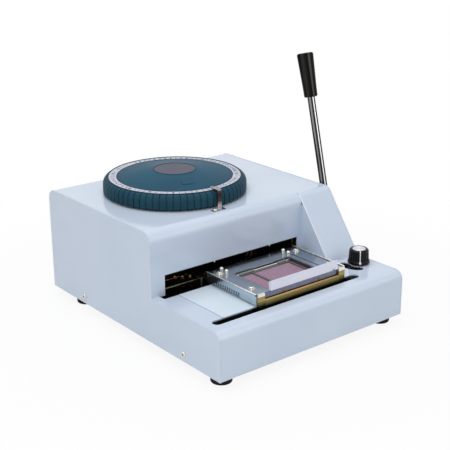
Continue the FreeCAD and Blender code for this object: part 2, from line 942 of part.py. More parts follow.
def make_cranks():
    """Two equal cranks and the link that keeps the shafts turning together."""
    pin_y = D.crank_reach * cosine(D.half_stroke)
    pin_z = D.crank_reach * -sine(D.half_stroke)
    after = D.crank_x + D.crank_thick
    for label, height in (("upper_crank", D.upper_shaft_z), ("lower_crank", D.lower_shaft_z)):
        place = (0, D.shaft_y, height)
        crank = new_body(label, place)
        eye = [(0, 0, D.shaft_radius + 4), (0, 0, D.shaft_radius + D.bore_gap)]
        add(crank, "YZ", D.crank_x, D.crank_thick, eye)
        half = D.link_eye * 0.8
        across = (half * sine(D.half_stroke), half * cosine(D.half_stroke))
        near_y = pin_y * 0.6
        near_z = pin_z * 0.6
        arm = [
            (near_y - across[0], near_z - across[1]),
            (pin_y - across[0], pin_z - across[1], half * 1.0001),
            (pin_y + across[0], pin_z + across[1]),
            (near_y + across[0], near_z + across[1]),
        ]
        add(crank, "YZ", D.crank_x, D.crank_thick, [arm])
        add(crank, "YZ", after, D.link_thick + 2, [(pin_y, pin_z, D.crank_pin)])
    drop = D.lower_shaft_z - D.upper_shaft_z
    link = new_body("link_rod", (0, D.shaft_y + pin_y, D.upper_shaft_z + pin_z))
    start = after + 0.4
    half = D.link_eye * 0.6
    bar = box(-half, half, drop + D.link_eye * 0.8, -D.link_eye * 0.8)
    add(link, "YZ", start, D.link_thick, [bar])
    add(link, "YZ", start, D.link_thick, [(0, 0, D.link_eye), (0, drop, D.link_eye)])
    clearance = D.crank_pin + D.bush_gap
    holes = [(0, 0, clearance), (0, drop, clearance + 0.4)]
    cut(link, "YZ", start + D.link_thick + 1, D.link_thick + 2, holes)


def make_lever():
    """Hub on the shaft's end, a bright rod leaning back and a fluted grip."""
    lean = FreeCAD.Rotation(FreeCAD.Vector(1, 0, 0), -D.lever_lean.value)
    place = (D.lever_x, D.shaft_y, D.upper_shaft_z)
    half = D.lever_hub_half
    rounding = 1.5
    radius = D.lever_hub_radius
    hole = D.shaft_radius + D.bore_gap
    profile = [
        (-half, hole),
        (-half, radius - rounding),
        (-half + rounding, radius),
        (half - rounding, radius),
        (half, radius - rounding),
        (half, hole),
    ]
    hub = revolve("lever_hub", profile, place, "H_Axis", lean)
    socket = D.lever_rod + D.bore_gap
    cut(hub, "XY", radius + 1, radius - 6.5, [(0, 0, socket)])

    rod_low = D.lever_hub_radius - 1.8
    rod_high = D.grip_high - 24
    profile = [(0, rod_low), (D.lever_rod, rod_low), (D.lever_rod, rod_high), (0, rod_high)]
    revolve("lever_rod", profile, place, "V_Axis", lean)

    low = D.grip_low
    high = D.grip_high
    wide = D.grip_top_radius
    narrow = D.grip_bottom_radius
    profile = [
        (socket, low),
        (narrow - 1.2, low),
        (narrow, low + 1.2),
        (narrow + 0.3, low + 14),
        (wide, high - 2.5, 2.6),
        (wide - 2.5, high),
        (0, high),
        (0, rod_high),
        (socket, rod_high),
    ]
    grip = revolve("lever_grip", profile, place, "V_Axis", lean)
    flute = (D.flute_floor + D.flute_radius, 0, D.flute_radius)
    groove = cut(grip, "XY", high + 1, high - low - 12, [flute])
    repeat_round(grip, [groove], D.flute_count)


def make_plungers():
    place = (D.wheel_x, D.shaft_y, 0)
    for label, low, high in (
        ("upper_plunger", D.upper_plunger_low, D.upper_plunger_high),
        ("lower_plunger", D.lower_plunger_low, D.lower_plunger_high),
    ):
        edge = 1
        radius = D.plunger_radius
        profile = [
            (0, low),
            (radius - edge, low),
            (radius, low + edge),
            (radius, high - edge),
            (radius - edge, high),
            (0, high),
        ]
        revolve(label, profile, place)


# Card carriage
def make_carriage():
    """Rods under the deck and the plated carriage that runs on them, up through both slots."""
    inner = D.frame_left + D.frame_thick
    rods = [(D.rod_front, D.rod_z, D.rod_radius), (D.rod_rear, D.rod_z, D.rod_radius)]
    bracket_right = D.frame_right
    length = bracket_right + D.bracket_thick - D.frame_left
    extrude("carriage_rods", "YZ", D.frame_left, length, rods)
    seats = [(y, z, radius + D.bore_gap) for y, z, radius in rods]
    front = D.rod_front - 14
    rear = D.rod_rear + 14
    outline = [
        (front, tray_floor),
        (rear, tray_floor),
        (rear, D.rod_z),
        (rear - 6, D.rod_z + 8),
        (front + 6, D.rod_z + 8),
        (front, D.rod_z),
    ]
    brackets = new_body("rod_brackets")
    add(brackets, "YZ", D.frame_left, D.bracket_thick, [outline, *seats])
    add(brackets, "YZ", bracket_right, D.bracket_thick, [outline, *seats])

    half = D.web_half
    lip = D.lip_front
    lip_rear = lip + D.lip_thick
    upright_rear = D.upright_y + D.web_thick
    plate = extrude("carriage_plate", "XY", D.web_low, D.web_thick, [box(-half, half, lip, upright_rear)])
    front_lip = [
        (D.lip_left, D.web_low),
        (D.lip_right, D.web_low),
        (D.lip_right, D.lip_high_top),
        (D.lip_right - D.lip_tab, D.lip_high_top),
        (D.lip_right - D.lip_tab, D.lip_low_top),
        (D.lip_left + D.lip_tab, D.lip_low_top),
        (D.lip_left + D.lip_tab, D.lip_high_top),
        (D.lip_left, D.lip_high_top),
    ]
    add(plate, "XZ", lip, D.lip_thick, [front_lip])
    roll_low = D.lip_low_top - 13
    roll = [
        (lip_rear, D.lip_low_top),
        (lip, D.lip_low_top, D.lip_roll),
        (lip, roll_low),
        (lip_rear, roll_low),
    ]
    add(plate, "YZ", D.lip_left + D.lip_tab, D.lip_right - D.lip_left - D.lip_tab * 2, [roll])
    upright = box(D.rail_left, D.rail_right + D.rail_wide, D.web_low, D.rail_low)
    add(plate, "XZ", D.upright_y, D.web_thick, [upright])

    bushes = new_body("carriage_bushes")
    housing = D.rod_radius + 4
    rings = []
    for y in (D.rod_front, D.rod_rear):
        rings.append((y, D.rod_z, housing))
        rings.append((y, D.rod_z, D.rod_radius + D.bush_gap))
    for left in (-D.web_half + 4, D.web_half - 22):
        add(bushes, "YZ", left, 18, rings)

    rails = new_body("guide_rails")
    strips = [
        box(D.rail_left, D.rail_left + D.rail_wide, lip_rear, D.rail_rear),
        box(D.rail_right, D.rail_right + D.rail_wide, lip_rear, D.rail_rear),
    ]
    add(rails, "XY", D.rail_low, D.rail_high - D.rail_low, strips)
    nose_left = D.holder_left + D.holder_inset + D.holder_sheet + 0.5
    nose = box(nose_left, D.rail_left, D.upright_y - 14, D.upright_y)
    extrude("line_detent", "XY", D.rail_low, D.comb_high - D.rail_low, [nose])

    rack_half = D.rack_pitch * (D.rack_teeth.value / 2)
    rack_low = D.web_low - 6
    bar = box(-rack_half, rack_half, rack_low, D.web_low)
    rack = extrude("feed_rack", "XZ", D.rack_y, 8, [bar])
    tooth = [
        (-rack_half, rack_low - 0.1),
        (-rack_half + D.rack_pitch * 0.95, rack_low - 0.1),
        (-rack_half, rack_low + 1.4),
    ]
    notch = cut(rack, "XZ", D.rack_y, 8, [tooth])
    repeat_along(rack, [notch], "X_Axis", D.rack_pitch, D.rack_teeth)


def make_feed_pawl():
    """Pawl under the rack, on a pivot post that stands on the base plate."""
    pivot_z = D.web_low - 16
    place = (D.wheel_x, D.rack_y, pivot_z)
    pawl = new_body("feed_pawl", place)
    eye = 4
    tip = 9.4
    body = [(-eye * 0.8, 0), (eye * 0.8, 0), (2, tip), (-1, tip)]
    add(pawl, "XZ", 1, 6, [body])
    add(pawl, "XZ", 1, 6, [(0, 0, eye)])
    cut(pawl, "XZ", 0, 9, [(0, 0, 2 + D.bush_gap)])
    post = new_body("pawl_post", place)
    leg = box(-6, 6, tray_floor - pivot_z, 5)
    add(post, "XZ", -4, 4.6, [leg])
    add(post, "XZ", 0.6, 8, [(0, 0, 2)])


# Card holder and its clamp
def make_card_holder():
    """Open-topped frame with a line comb down its left side, over a bed that carries the card."""
    left = D.holder_left
    right = D.holder_right
    thin = D.holder_sheet
    hem_top = D.holder_high + D.holder_hem
    wall_left = left + D.holder_inset
    wall_right = right - D.holder_inset
    section = [
        (wall_left, D.holder_low),
        (wall_left + thin, D.holder_low),
        (wall_left + thin, D.holder_high - thin),
        (wall_right - thin, D.holder_high - thin),
        (wall_right - thin, D.holder_low),
        (wall_right, D.holder_low),
        (wall_right, D.holder_high - thin),
        (right, D.holder_high - thin),
        (right, hem_top),
        (right - thin, hem_top),
        (right - thin, D.holder_high),
        (left + thin, D.holder_high),
        (left + thin, hem_top),
        (left, hem_top),
        (left, D.holder_high - thin),
        (wall_left, D.holder_high - thin),
    ]
    length = D.holder_rear - D.holder_front
    frame = extrude("card_frame", "XZ", D.holder_front, length, [section])
    window = box(D.holder_window_left, D.holder_window_right, D.holder_window_front, D.holder_window_rear)
    screws = [
        (x, y)
        for x in (D.corner_screw_left, D.corner_screw_right)
        for y in (D.corner_screw_front, D.corner_screw_rear)
    ]
    domes = [(x, y) for x in (D.dome_left, D.dome_right) for y in (D.dome_front, D.dome_rear)]
    holes = [(x, y, D.screw_shank) for x, y in (*screws, *domes)]
    slit_left = D.holder_slit_x - D.holder_slit_half
    slit_right = D.holder_slit_x + D.holder_slit_half
    slit = box(slit_left, slit_right, D.holder_window_front + 2, D.holder_window_rear + 4)
    cut(frame, "XY", D.holder_high + 1, thin + 1.5, [window, slit, *holes])
    front_wall = box(left + 10, right - 10, D.holder_front_low, D.holder_high - thin)
    add(frame, "XZ", D.holder_front, thin, [front_wall])
    tooth = box(D.comb_front, D.comb_front + D.comb_gap, D.comb_low, D.comb_high)
    notch = cut(frame, "YZ", wall_left + thin + 0.5, thin + 1, [tooth])
    repeat_along(frame, [notch], "Y_Axis", D.comb_pitch, D.comb_teeth)

    bed_front = D.holder_front + thin + 0.2
    bed_rear = D.holder_rear - 4
    plate = box(D.bed_left, D.bed_right, bed_front, bed_rear)
    card_left = D.card_x - D.card_long / 2
    card_right = D.card_x + D.card_long / 2
    card_front = D.card_rear - D.card_wide
    ledge = 4
    opening = box(card_left + ledge, card_right - ledge, card_front + ledge, D.card_rear - ledge)
    bed = extrude("card_bed", "XY", D.bed_low, D.bed_high - D.bed_low, [plate, opening])
    top = D.holder_high - thin
    posts = [(x, y, 4.5) for x, y in screws]
    add(bed, "XY", D.bed_high, top - D.bed_high, posts)
    lug_wide = 3
    lug_high = D.clamp_pin_z + 1.4
    for lug_left in (D.holder_window_left + 0.5, D.holder_window_right - 3.5):
        lug = box(lug_left, lug_left + lug_wide, D.bed_high, lug_high)
        add(bed, "XZ", D.clamp_pin_y - 1.6, 3.2, [lug])
    bores = [(x, y, 1.8) for x, y in screws]
    cut(bed, "XY", top + 1, top - D.bed_low + 2, bores)
    pin_hole = (D.clamp_pin_y, D.clamp_pin_z, D.clamp_pin_radius + D.bore_gap)
    cut(bed, "YZ", D.holder_window_right + 1, D.holder_right - D.holder_left, [pin_hole])

    card = box(card_left, card_right, card_front, D.card_rear)
    blank = extrude("blank_card", "XY", D.bed_high, D.card_thick, [card])
    upright_edge = lambda middle, edge: near(middle.z, D.bed_high + D.card_thick / 2)
    round_edges(blank, D.card_corner, upright_edge)

    fasteners = new_body("frame_screws")
    add(fasteners, "XY", D.holder_high, 0.9, [(x, y, 4.6) for x, y in screws])
    head_low = D.holder_high + 0.9
    add(fasteners, "XY", head_low, 2.5, [(x, y, 3.3) for x, y in screws])
    round_edges(fasteners, 1.1, lambda middle, edge: near(middle.z, head_low + 2.5))
    add(fasteners, "XY", top - 6, 6 + thin, [(x, y, 1.7) for x, y in screws])

    pins = new_body("dome_pins")
    add(pins, "XY", D.holder_high, D.dome_height, [(x, y, D.dome_radius) for x, y in domes])
    crown = D.holder_high + D.dome_height
    round_edges(pins, D.dome_radius * 0.75, lambda middle, edge: near(middle.z, crown))
    add(pins, "XY", top, thin, [(x, y, D.screw_shank - 0.1) for x, y in domes])


def make_clamp():
    """Hinged bezel that holds the card down, with a formed finger flap along its front."""
    left = D.clamp_left
    right = D.clamp_right
    low = D.clamp_low
    thick = D.clamp_thick
    front = D.holder_window_front + 0.6
    rear = D.clamp_pin_y - 1.4
    bar = 2.8
    sill = D.wheel_x - 1
    opening_right = box(sill + bar, right - bar, front + bar, rear - bar)
    opening_left = box(left + bar, sill, front + bar, rear - bar)
    bezel = extrude("clamp_bezel", "XY", low, thick, [box(left, right, front, rear), opening_left, opening_right])
    crest = D.flap_crest
    sill_low = D.holder_high + 0.6
    sill_high = sill_low + thick
    flap_foot = D.flap_y
    flap_top = D.flap_y + D.flap_lean
    flap = [
        (flap_foot, sill_low),
        (flap_foot + thick, sill_low),
        (flap_top + thick, crest),
        (flap_top, crest),
    ]
    add(bezel, "YZ", D.flap_left, D.flap_right - D.flap_left, [flap])
    step = [
        (front, low),
        (front + thick, low),
        (front + thick, sill_high),
        (flap_foot, sill_high),
        (flap_foot, sill_low),
        (front, sill_low),
    ]
    add(bezel, "YZ", left, right - left, [step])
    end_return = [
        (flap_foot, sill_low),
        (flap_foot + D.flap_return, sill_low),
        (flap_top + D.flap_return, crest - 1.5),
        (flap_top + thick, crest),
        (flap_top, crest),
    ]
    add(bezel, "YZ", D.flap_left - thick, thick, [end_return])
    notch = box(D.flap_right - 9, D.flap_right - 4, sill_low - 1, sill_low + 1.8)
    cut(bezel, "XZ", flap_foot - 1, thick + 2, [notch])
    knuckle = (D.clamp_pin_y, D.clamp_pin_z, 1.7)
    web = box(rear - 1, D.clamp_pin_y, low, low + thick)
    for start in (left + 4, sill - 8, right - 18):
        add(bezel, "YZ", start, 14, [knuckle])
        add(bezel, "YZ", start, 14, [web])
    hole = (D.clamp_pin_y, D.clamp_pin_z, D.clamp_pin_radius + D.bush_gap)
    cut(bezel, "YZ", right + 1, right - left + 2, [hole])
    pin_left = D.holder_window_left + 0.6
    pin_length = D.holder_window_right - D.holder_window_left - 1.2
    pin = (D.clamp_pin_y, D.clamp_pin_z, D.clamp_pin_radius)
    extrude("clamp_pin", "YZ", pin_left, pin_length, [pin])


# Pitch selector
def make_selector():
    """Knob on a short spindle, with an arm under the deck whose pin runs in the kidney slot."""
    place = (D.selector_x, D.selector_y, D.deck_height)
    spindle = D.selector_spindle
    low = D.selector_lift
    high = low + D.knob_height
    arm_top = -D.sheet - 0.4
    arm_thick = 2.5
    spindle_top = low + 12
    stud = new_body("selector_stud", place)
    add(stud, "XY", arm_top - arm_thick, spindle_top - arm_top + arm_thick, [(0, 0, spindle)])
    turn = math.radians(D.selector_slot_middle.value)
    pin_x = D.selector_slot_radius * math.cos(turn)
    pin_y = D.selector_slot_radius * math.sin(turn)
    pin = D.selector_pin
    arm = [(0, spindle * 2), (pin_x, pin_y + pin), (pin_x, pin_y - pin), (0, spindle * -2)]
    add(stud, "XY", arm_top - arm_thick, arm_thick, [arm])
    add(stud, "XY", arm_top - arm_thick, arm_thick, [(0, 0, spindle * 2.2)])
    add(stud, "XY", arm_top - arm_thick, arm_thick + D.sheet + 0.2, [(pin_x, pin_y, pin)])

    bore_radius = spindle + D.bore_gap
    profile = [
        (bore_radius, low),
        (D.knob_flange - 1, low),
        (D.knob_flange, low + 1),
        (D.knob_flange - 0.2, low + 3.2),
        (D.knob_radius + 0.3, low + 5.4),
        (D.knob_radius - 0.3, high - 1.8),
        (D.knob_radius - 2, high),
        (D.knob_cap + 0.1, high),
        (D.knob_cap + 0.1, high - 0.9),
        (0, high - 0.9),
        (0, spindle_top + 0.4),
        (bore_radius, spindle_top + 0.4),
    ]
    knob = revolve("selector_knob", profile, place)
    flute = (D.knob_radius + 3.2, 0, 3.8)
    groove = cut(knob, "XY", high - 1.4, D.knob_height - 6.6, [flute])
    repeat_round(knob, [groove], D.knob_flutes)
    cap = extrude("knob_cap", "XY", high - 0.9, 1.1, [(0, 0, D.knob_cap)], place)
    round_edges(cap, 0.4, lambda middle, edge: near(middle.z, high + 0.2))


# Pointer over the character ring
def make_pointer():
    base = D.top_height
    thick = 1.2
    riser = D.wheel_y - D.dial_radius - 3.4
    reach = D.wheel_y - D.ring_inner - 3
    arm = base + D.ring_height + 1.6
    profile = [
        (riser - 9, base),
        (riser + thick, base),
        (riser + thick, arm),
        (reach, arm),
        (reach, arm + thick),
        (riser, arm + thick),
        (riser, base + thick),
        (riser - 9, base + thick),
    ]
    half = 3.2
    middle = D.pointer_x
    strip = extrude("pointer", "YZ", middle - half, as_size(half * 2), [profile])
    tip = [(middle - half - 0.1, reach + 0.1), (middle - half - 0.1, reach - 7), (middle - 0.6, reach + 0.1)]
    other_tip = [(middle + half + 0.1, reach + 0.1), (middle + 0.6, reach + 0.1), (middle + half + 0.1, reach - 7)]
    cut(strip, "XY", arm + thick + 1, as_size(thick + 1.5), [tip, other_tip])
    foot = box(D.pointer_screw_x - 4, middle - half, riser - 9, riser - 2)
    add(strip, "XY", base, as_size(thick), [foot])
    screw_x = D.pointer_screw_x
    screw_y = riser - 5.5
    cut(strip, "XY", base + thick + 1, as_size(thick + 2), [(screw_x, screw_y, 1.6)])
    screw = extrude("pointer_screw", "XY", base + thick, as_size(1.9), [(screw_x, screw_y, 2.9)])
    round_edges(screw, 0.8, lambda middle, edge: near(middle.z, base + thick + 1.9))
    add(screw, "XY", base, as_size(thick), [(screw_x, screw_y, 1.5)])


def make_detent():
    """Sprung arm over the index plate, with a roller that drops into its notches."""
    low = D.index_z + D.index_thick + 0.7
    place = (D.wheel_x + D.detent_pivot, D.wheel_y, low)
    thick = 2.6
    roller = 3
    from_axis = D.index_radius + roller + D.detent_gap
    roller_x = from_axis * math.cos(math.radians(30)) - D.detent_pivot
    roller_y = from_axis * -math.sin(math.radians(30))
    half = 3.5
    arm = new_body("detent_arm", place)
    bar = [(-half, 0), (roller_x - half, roller_y), (roller_x + half, roller_y), (half, 0)]
    add(arm, "XY", 0, thick, [bar])
    add(arm, "XY", 0, thick, [(0, 0, 6)])
    add(arm, "XY", 0, thick, [(roller_x, roller_y, half)])
    cut(arm, "XY", thick + 1, thick + 2, [(0, 0, 3 + D.bush_gap)])
    drop = D.index_thick + 1.2
    add(arm, "XY", -drop, drop, [(roller_x, roller_y, roller)])


make_housing_cover()
make_lever_shroud()
make_side_panels()
make_base()
make_dial()
make_spindle()
make_type_wheels()
make_frame()
make_shafts()
make_cranks()
make_lever()
make_plungers()
make_carriage()
make_feed_pawl()
make_card_holder()
make_clamp()
make_selector()
make_pointer()
make_detent()
document.recompute()

for item in document.Objects:
    if "Invalid" in item.State or "Error" in item.State:
        raise ValueError(f"{item.Label} failed: {item.State}")
pieces = [item for item in document.Objects if item.TypeId == "PartDesign::Body"]
for piece in pieces:
    if piece.Shape.isNull() or not piece.Shape.isValid() or not piece.Shape.Solids:
        raise ValueError(f"{piece.Label} has no valid solid")

os.makedirs("parts", exist_ok=True)
for piece in pieces:
    piece.Shape.exportStep(f"parts/{piece.Label}.step")
    print(f"{piece.Label}: {len(piece.Shape.Solids)} solids, {piece.Shape.Volume:.0f} mm3")
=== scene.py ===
import math
import bpy
from mathutils import Matrix, Vector


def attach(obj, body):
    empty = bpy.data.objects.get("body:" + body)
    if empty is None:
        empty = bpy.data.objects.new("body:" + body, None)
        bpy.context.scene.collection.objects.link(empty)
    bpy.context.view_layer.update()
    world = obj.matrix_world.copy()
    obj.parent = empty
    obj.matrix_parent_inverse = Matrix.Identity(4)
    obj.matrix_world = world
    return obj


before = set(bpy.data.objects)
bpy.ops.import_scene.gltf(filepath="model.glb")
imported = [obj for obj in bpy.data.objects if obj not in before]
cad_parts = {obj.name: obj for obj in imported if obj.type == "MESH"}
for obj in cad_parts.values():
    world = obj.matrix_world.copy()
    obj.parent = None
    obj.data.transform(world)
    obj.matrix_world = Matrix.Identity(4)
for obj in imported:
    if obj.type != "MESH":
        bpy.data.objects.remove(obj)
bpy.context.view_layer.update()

# The machine's own places, in millimetres: x from the housing's middle to the right, y back from
# its front face, z up from its underside. ORIGIN is where that point stands in the scene.
# Angles are in degrees.
ORIGIN = Vector((-9.75, -186.5, 11.0))
DECK = 59.3
TOP = 141.5

# Middles of the cover's bends, in y and z
TOP_BEND = (147.3, 127.5)
DECK_BEND = (11.0, 48.3)

# Dial
DIAL_AXIS = (-21.5, 258.0)
RING_MIDDLE = 83.3
RING_TOP = TOP + 21.8
DISC_TOP = TOP + 30.0
CHARACTERS = "ABCDEFGHIJKLMNOPQRSTUVWXYZ0123456789.,-/&'+0123456789#*()%=:;$!?<>[]"
CHARACTER_SIZE = 7.2
CHARACTER_HALF = 0.06
RIB_COUNT = 68
RIB_LINE_SIZE = (7.6, 1.3)
RIB_LINE_SLOPE = 52.0
RIB_LINE_RADIUS = 93.6
RIB_LINE_HEIGHT = TOP + 20.6
PAD_RADIUS = 53.0
PAD_ANGLE = -108.5
PAD_SIZE = (14.5, 13.0)
PAD_START = TOP + 40.0

# Selector knob, with its white line's reach and height at each corner, and how much the line
# widens on the way to the next one
KNOB_AXIS = (128.5, 57.5)
KNOB_LOW = DECK + 1.0
KNOB_TOP = KNOB_LOW + 19.4
KNOB_TURN = -128.0
KNOB_LINE_WIDTH = 1.3
KNOB_LINE_PATH = [
    (9.0, KNOB_TOP + 0.1),
    (11.1, KNOB_TOP + 0.1),
    (12.85, KNOB_TOP - 1.7),
    (13.42, KNOB_LOW + 5.6),
    (14.42, KNOB_LOW + 3.3),
    (14.64, KNOB_LOW + 1.3),
]
KNOB_LINE_SPREAD = (1.0, 1.0, 1.0, 2.6, 0.1)

# Lever
LEVER_AXIS = (161.0, 156.0, 120.0)
LEVER_LEAN = 13.8

# Card holder and its screws
HOLDER_TOP = 75.7
HEM_LINES = (-71.3, 74.3)
HEM_ENDS = (30.4, 125.8)
HEM_HEIGHT = 76.6
CLAMP_BARS_TOP = 75.9
FLAP_FOOT = 76.2
FRAME_SCREW_TOP = HOLDER_TOP + 3.4
FRAME_SCREWS = [(x, y) for x in (-62.5, 65.0) for y in (49.0, 110.0)]
FRONT_SCREWS = (-27.0, 31.0)
FRONT_SCREW_FACE = 30.25
FRONT_SCREW_HEIGHT = 71.2

# Carriage lip
LIP_ENDS = (-59.8, 61.8)
LIP_EDGE = (28.5, 67.5)

# Side screws, the shroud fold with its painted highlight, and the housing's seam lines in
# painted shadow
SIDE_SCREWS = [(side, y) for side in (-1, 1) for y in (68.0, 291.0)]
SIDE_SCREW_FACE = 152.2
SIDE_SCREW_HEIGHT = 10.0
FOLD_LINE = 95.6
FOLD_FOOT = (80.4, 60.2)
FOLD_HEAD = (138.6, 140.4)
FOLD_BEND_LINE = 95.4
PANEL_SEAM = -148.5
COVER_SEAM_END = 359.0
DECK_SEAM_END = 132.8
TABLE_SEAM = -117.6
TABLE_SEAM_ENDS = (34.2, 119.9)

# Works behind the window
WORKS_LEFT = -135.0
WORKS_FLOOR = 38.9
WORKS_BAR_HEIGHT = 58.0
STOP_BAR_DEPTH = 150.0
STOP_BAR_END = -60.0
STOP_POST = (-60.6, 150.0)
STOP_POST_TOP = 58.6
SPRING_POST_DEPTH = 172.0
SPRING_POST_END = -66.0
TIE_POST = (94.8, 150.0)
TIE_POST_TOP = 99.1
GUIDE_MIDDLE = (-20.5, 135.9, 87.1)
GUIDE_SIZE = (217.0, 2.0, 10.2)
WINDOW_SCREWS = (-51.6, 39.8)
WINDOW_SCREW_FACE = 134.95
WINDOW_SCREW_HEIGHT = 82.75

# The way out of the machine's front, which the small screws' heads face
FORWARD = (0, -1, 0)

# Camera, fitted to the photograph
CAMERA_SPOT = (-769.2, -788.7, 537.3)
CAMERA_AZIMUTH = -38.525
CAMERA_ELEVATION = 19.155
CAMERA_ROLL = -0.345
CAMERA_SENSOR = 36
CAMERA_LENS = 79.72

# Light and floor of the room, in the scene's metres and in watts
WHITE = (1.0, 1.0, 1.0, 1.0)
ROOM_TINT = (0.97, 0.985, 1.0, 1.0)
ROOM_STRENGTH = 0.36
LAMPS = [
    {
        "name": "overhead", "spot": (-0.2, 0.1, 1.7), "target": (0, 0, 0.05),
        "size": 1.6, "power": 15.5,
    },
    {
        "name": "front_left", "spot": (-1.6, -1.3, 1.0), "target": (0, 0, 0.08),
        "size": 1.4, "power": 11.5,
    },
    {
        "name": "front_right", "spot": (1.1, -1.7, 0.9), "target": (0, 0, 0.08),
        "size": 1.2, "power": 4.5,
    },
]
FLOOR_SIZE = 12
FLOOR_HEIGHT = -0.0005
FLOOR_GREY = (0.86, 0.86, 0.86, 1.0)
GLOW_NEAR = 0.2
GLOW_FAR = 0.6
GLOW_SHARE = 0.9


def mm(length):
    """Millimetres in the scene's metres."""
    return length / 1000


def place(x, y, z):
    """A point of the machine in the scene, in metres."""
    return mm(Vector((x, y, z)) + ORIGIN)


def colour(red, green, blue):
    """A colour as seen on a screen, turned to the light values that shaders take."""
    linear = []
    for part in (red, green, blue):
        level = part / 255
        linear.append(level / 12.92 if level <= 0.04045 else ((level + 0.055) / 1.055) ** 2.4)
    return (*linear, 1.0)


# Shared surface effects
def start_group(name, sockets):
    """A shader node group with number inputs, a Tone and a Height."""
    group = bpy.data.node_groups.new(name, "ShaderNodeTree")
    group.interface.new_socket("Vector", in_out="INPUT", socket_type="NodeSocketVector")
    for label, value in sockets:
        socket = group.interface.new_socket(label, in_out="INPUT", socket_type="NodeSocketFloat")
        socket.default_value = value
    group.interface.new_socket("Tone", in_out="OUTPUT", socket_type="NodeSocketFloat")
    group.interface.new_socket("Height", in_out="OUTPUT", socket_type="NodeSocketFloat")
    return group, group.nodes.new("NodeGroupInput"), group.nodes.new("NodeGroupOutput")


def noise(group, given, scale, detail):
    """Noise over the group's own vector, as fine as one of its inputs says."""
    texture = group.nodes.new("ShaderNodeTexNoise")
    texture.inputs["Detail"].default_value = detail
    group.links.new(given.outputs["Vector"], texture.inputs["Vector"])
    group.links.new(given.outputs[scale], texture.inputs["Scale"])
    return texture.outputs["Fac"]


def spread(group, source, low, high):
    """Stretch a range of a value to the range from 0 to 1."""
    remap = group.nodes.new("ShaderNodeMapRange")
    remap.inputs["From Min"].default_value = low
    remap.inputs["From Max"].default_value = high
    group.links.new(source, remap.inputs["Value"])
    return remap.outputs["Result"]


def combine(group, operation, first, second):
    """One Math node over two sockets, or a socket and a number."""
    node = group.nodes.new("ShaderNodeMath")
    node.operation = operation
    for slot, value in enumerate((first, second)):
        if isinstance(value, (int, float)):
            node.inputs[slot].default_value = value
        else:
            group.links.new(value, node.inputs[slot])
    return node.outputs["Value"]


def enamel_effect():
    """Sprayed enamel: faint clouding and the fine ripple of a sprayed coat."""
    group, given, result = start_group("enamel", [("Cloud", 9.0), ("Ripple", 900.0)])
    cloud = noise(group, given, "Cloud", detail=3.0)
    group.links.new(spread(group, cloud, low=0.3, high=0.7), result.inputs["Tone"])
    ripple = noise(group, given, "Ripple", detail=1.0)
    group.links.new(ripple, result.inputs["Height"])
    return group


def brushed_effect():
    """Drawn or ground metal: long fine lines along the stretched direction."""
    group, given, result = start_group("brushed", [("Lines", 60.0)])
    lines = noise(group, given, "Lines", detail=6.0)
    group.links.new(spread(group, lines, low=0.32, high=0.68), result.inputs["Tone"])
    group.links.new(lines, result.inputs["Height"])
    return group


def moulded_effect():
    """Moulded plastic or rubber: a fine grain with slight patches."""
    group, given, result = start_group("moulded", [("Patch", 40.0), ("Grain", 2600.0)])
    patch = noise(group, given, "Patch", detail=3.0)
    group.links.new(spread(group, patch, low=0.3, high=0.7), result.inputs["Tone"])
    grain = noise(group, given, "Grain", detail=2.0)
    group.links.new(grain, result.inputs["Height"])
    return group


def woven_effect():
    """Dots of a fine square weave under a clear face."""
    group, given, result = start_group("woven", [("Threads", 3800.0)])
    split = group.nodes.new("ShaderNodeSeparateXYZ")
    group.links.new(given.outputs["Vector"], split.inputs["Vector"])
    waves = []
    for axis in ("X", "Y"):
        scaled = combine(group, "MULTIPLY", split.outputs[axis], given.outputs["Threads"])
        waves.append(combine(group, "SINE", scaled, 0.0))
    dots = spread(group, combine(group, "MULTIPLY", *waves), low=-1.0, high=1.0)
    group.links.new(dots, result.inputs["Tone"])
    group.links.new(dots, result.inputs["Height"])
    return group


def spun_effect():
    """Lathe-spun face: fine rings about the axis, and a painted sheen of bright bands across
    them.
    """
    group, given, result = start_group("spun", [("Rings", 900.0), ("SheenRays", 2.0)])
    rings = group.nodes.new("ShaderNodeTexWave")
    rings.wave_type = "RINGS"
    rings.rings_direction = "Z"
    rings.inputs["Distortion"].default_value = 0.4
    group.links.new(given.outputs["Vector"], rings.inputs["Vector"])
    group.links.new(given.outputs["Rings"], rings.inputs["Scale"])
    around = group.nodes.new("ShaderNodeTexGradient")
    around.gradient_type = "RADIAL"
    group.links.new(given.outputs["Vector"], around.inputs["Vector"])
    # Painted sheen: bright bands about the axis painted into the tone, over the real rings
    turns = combine(group, "MULTIPLY", around.outputs["Fac"], given.outputs["SheenRays"])
    painted_sheen = combine(group, "SINE", combine(group, "MULTIPLY", turns, 2 * math.pi), 0.0)
    painted_sheen_share = 0.7
    shares = combine(group, "MULTIPLY", spread(group, painted_sheen, low=-1.0, high=1.0), painted_sheen_share)
    lines = combine(group, "MULTIPLY", rings.outputs["Fac"], 1 - painted_sheen_share)
    group.links.new(combine(group, "ADD", shares, lines), result.inputs["Tone"])
    group.links.new(rings.outputs["Fac"], result.inputs["Height"])
    return group


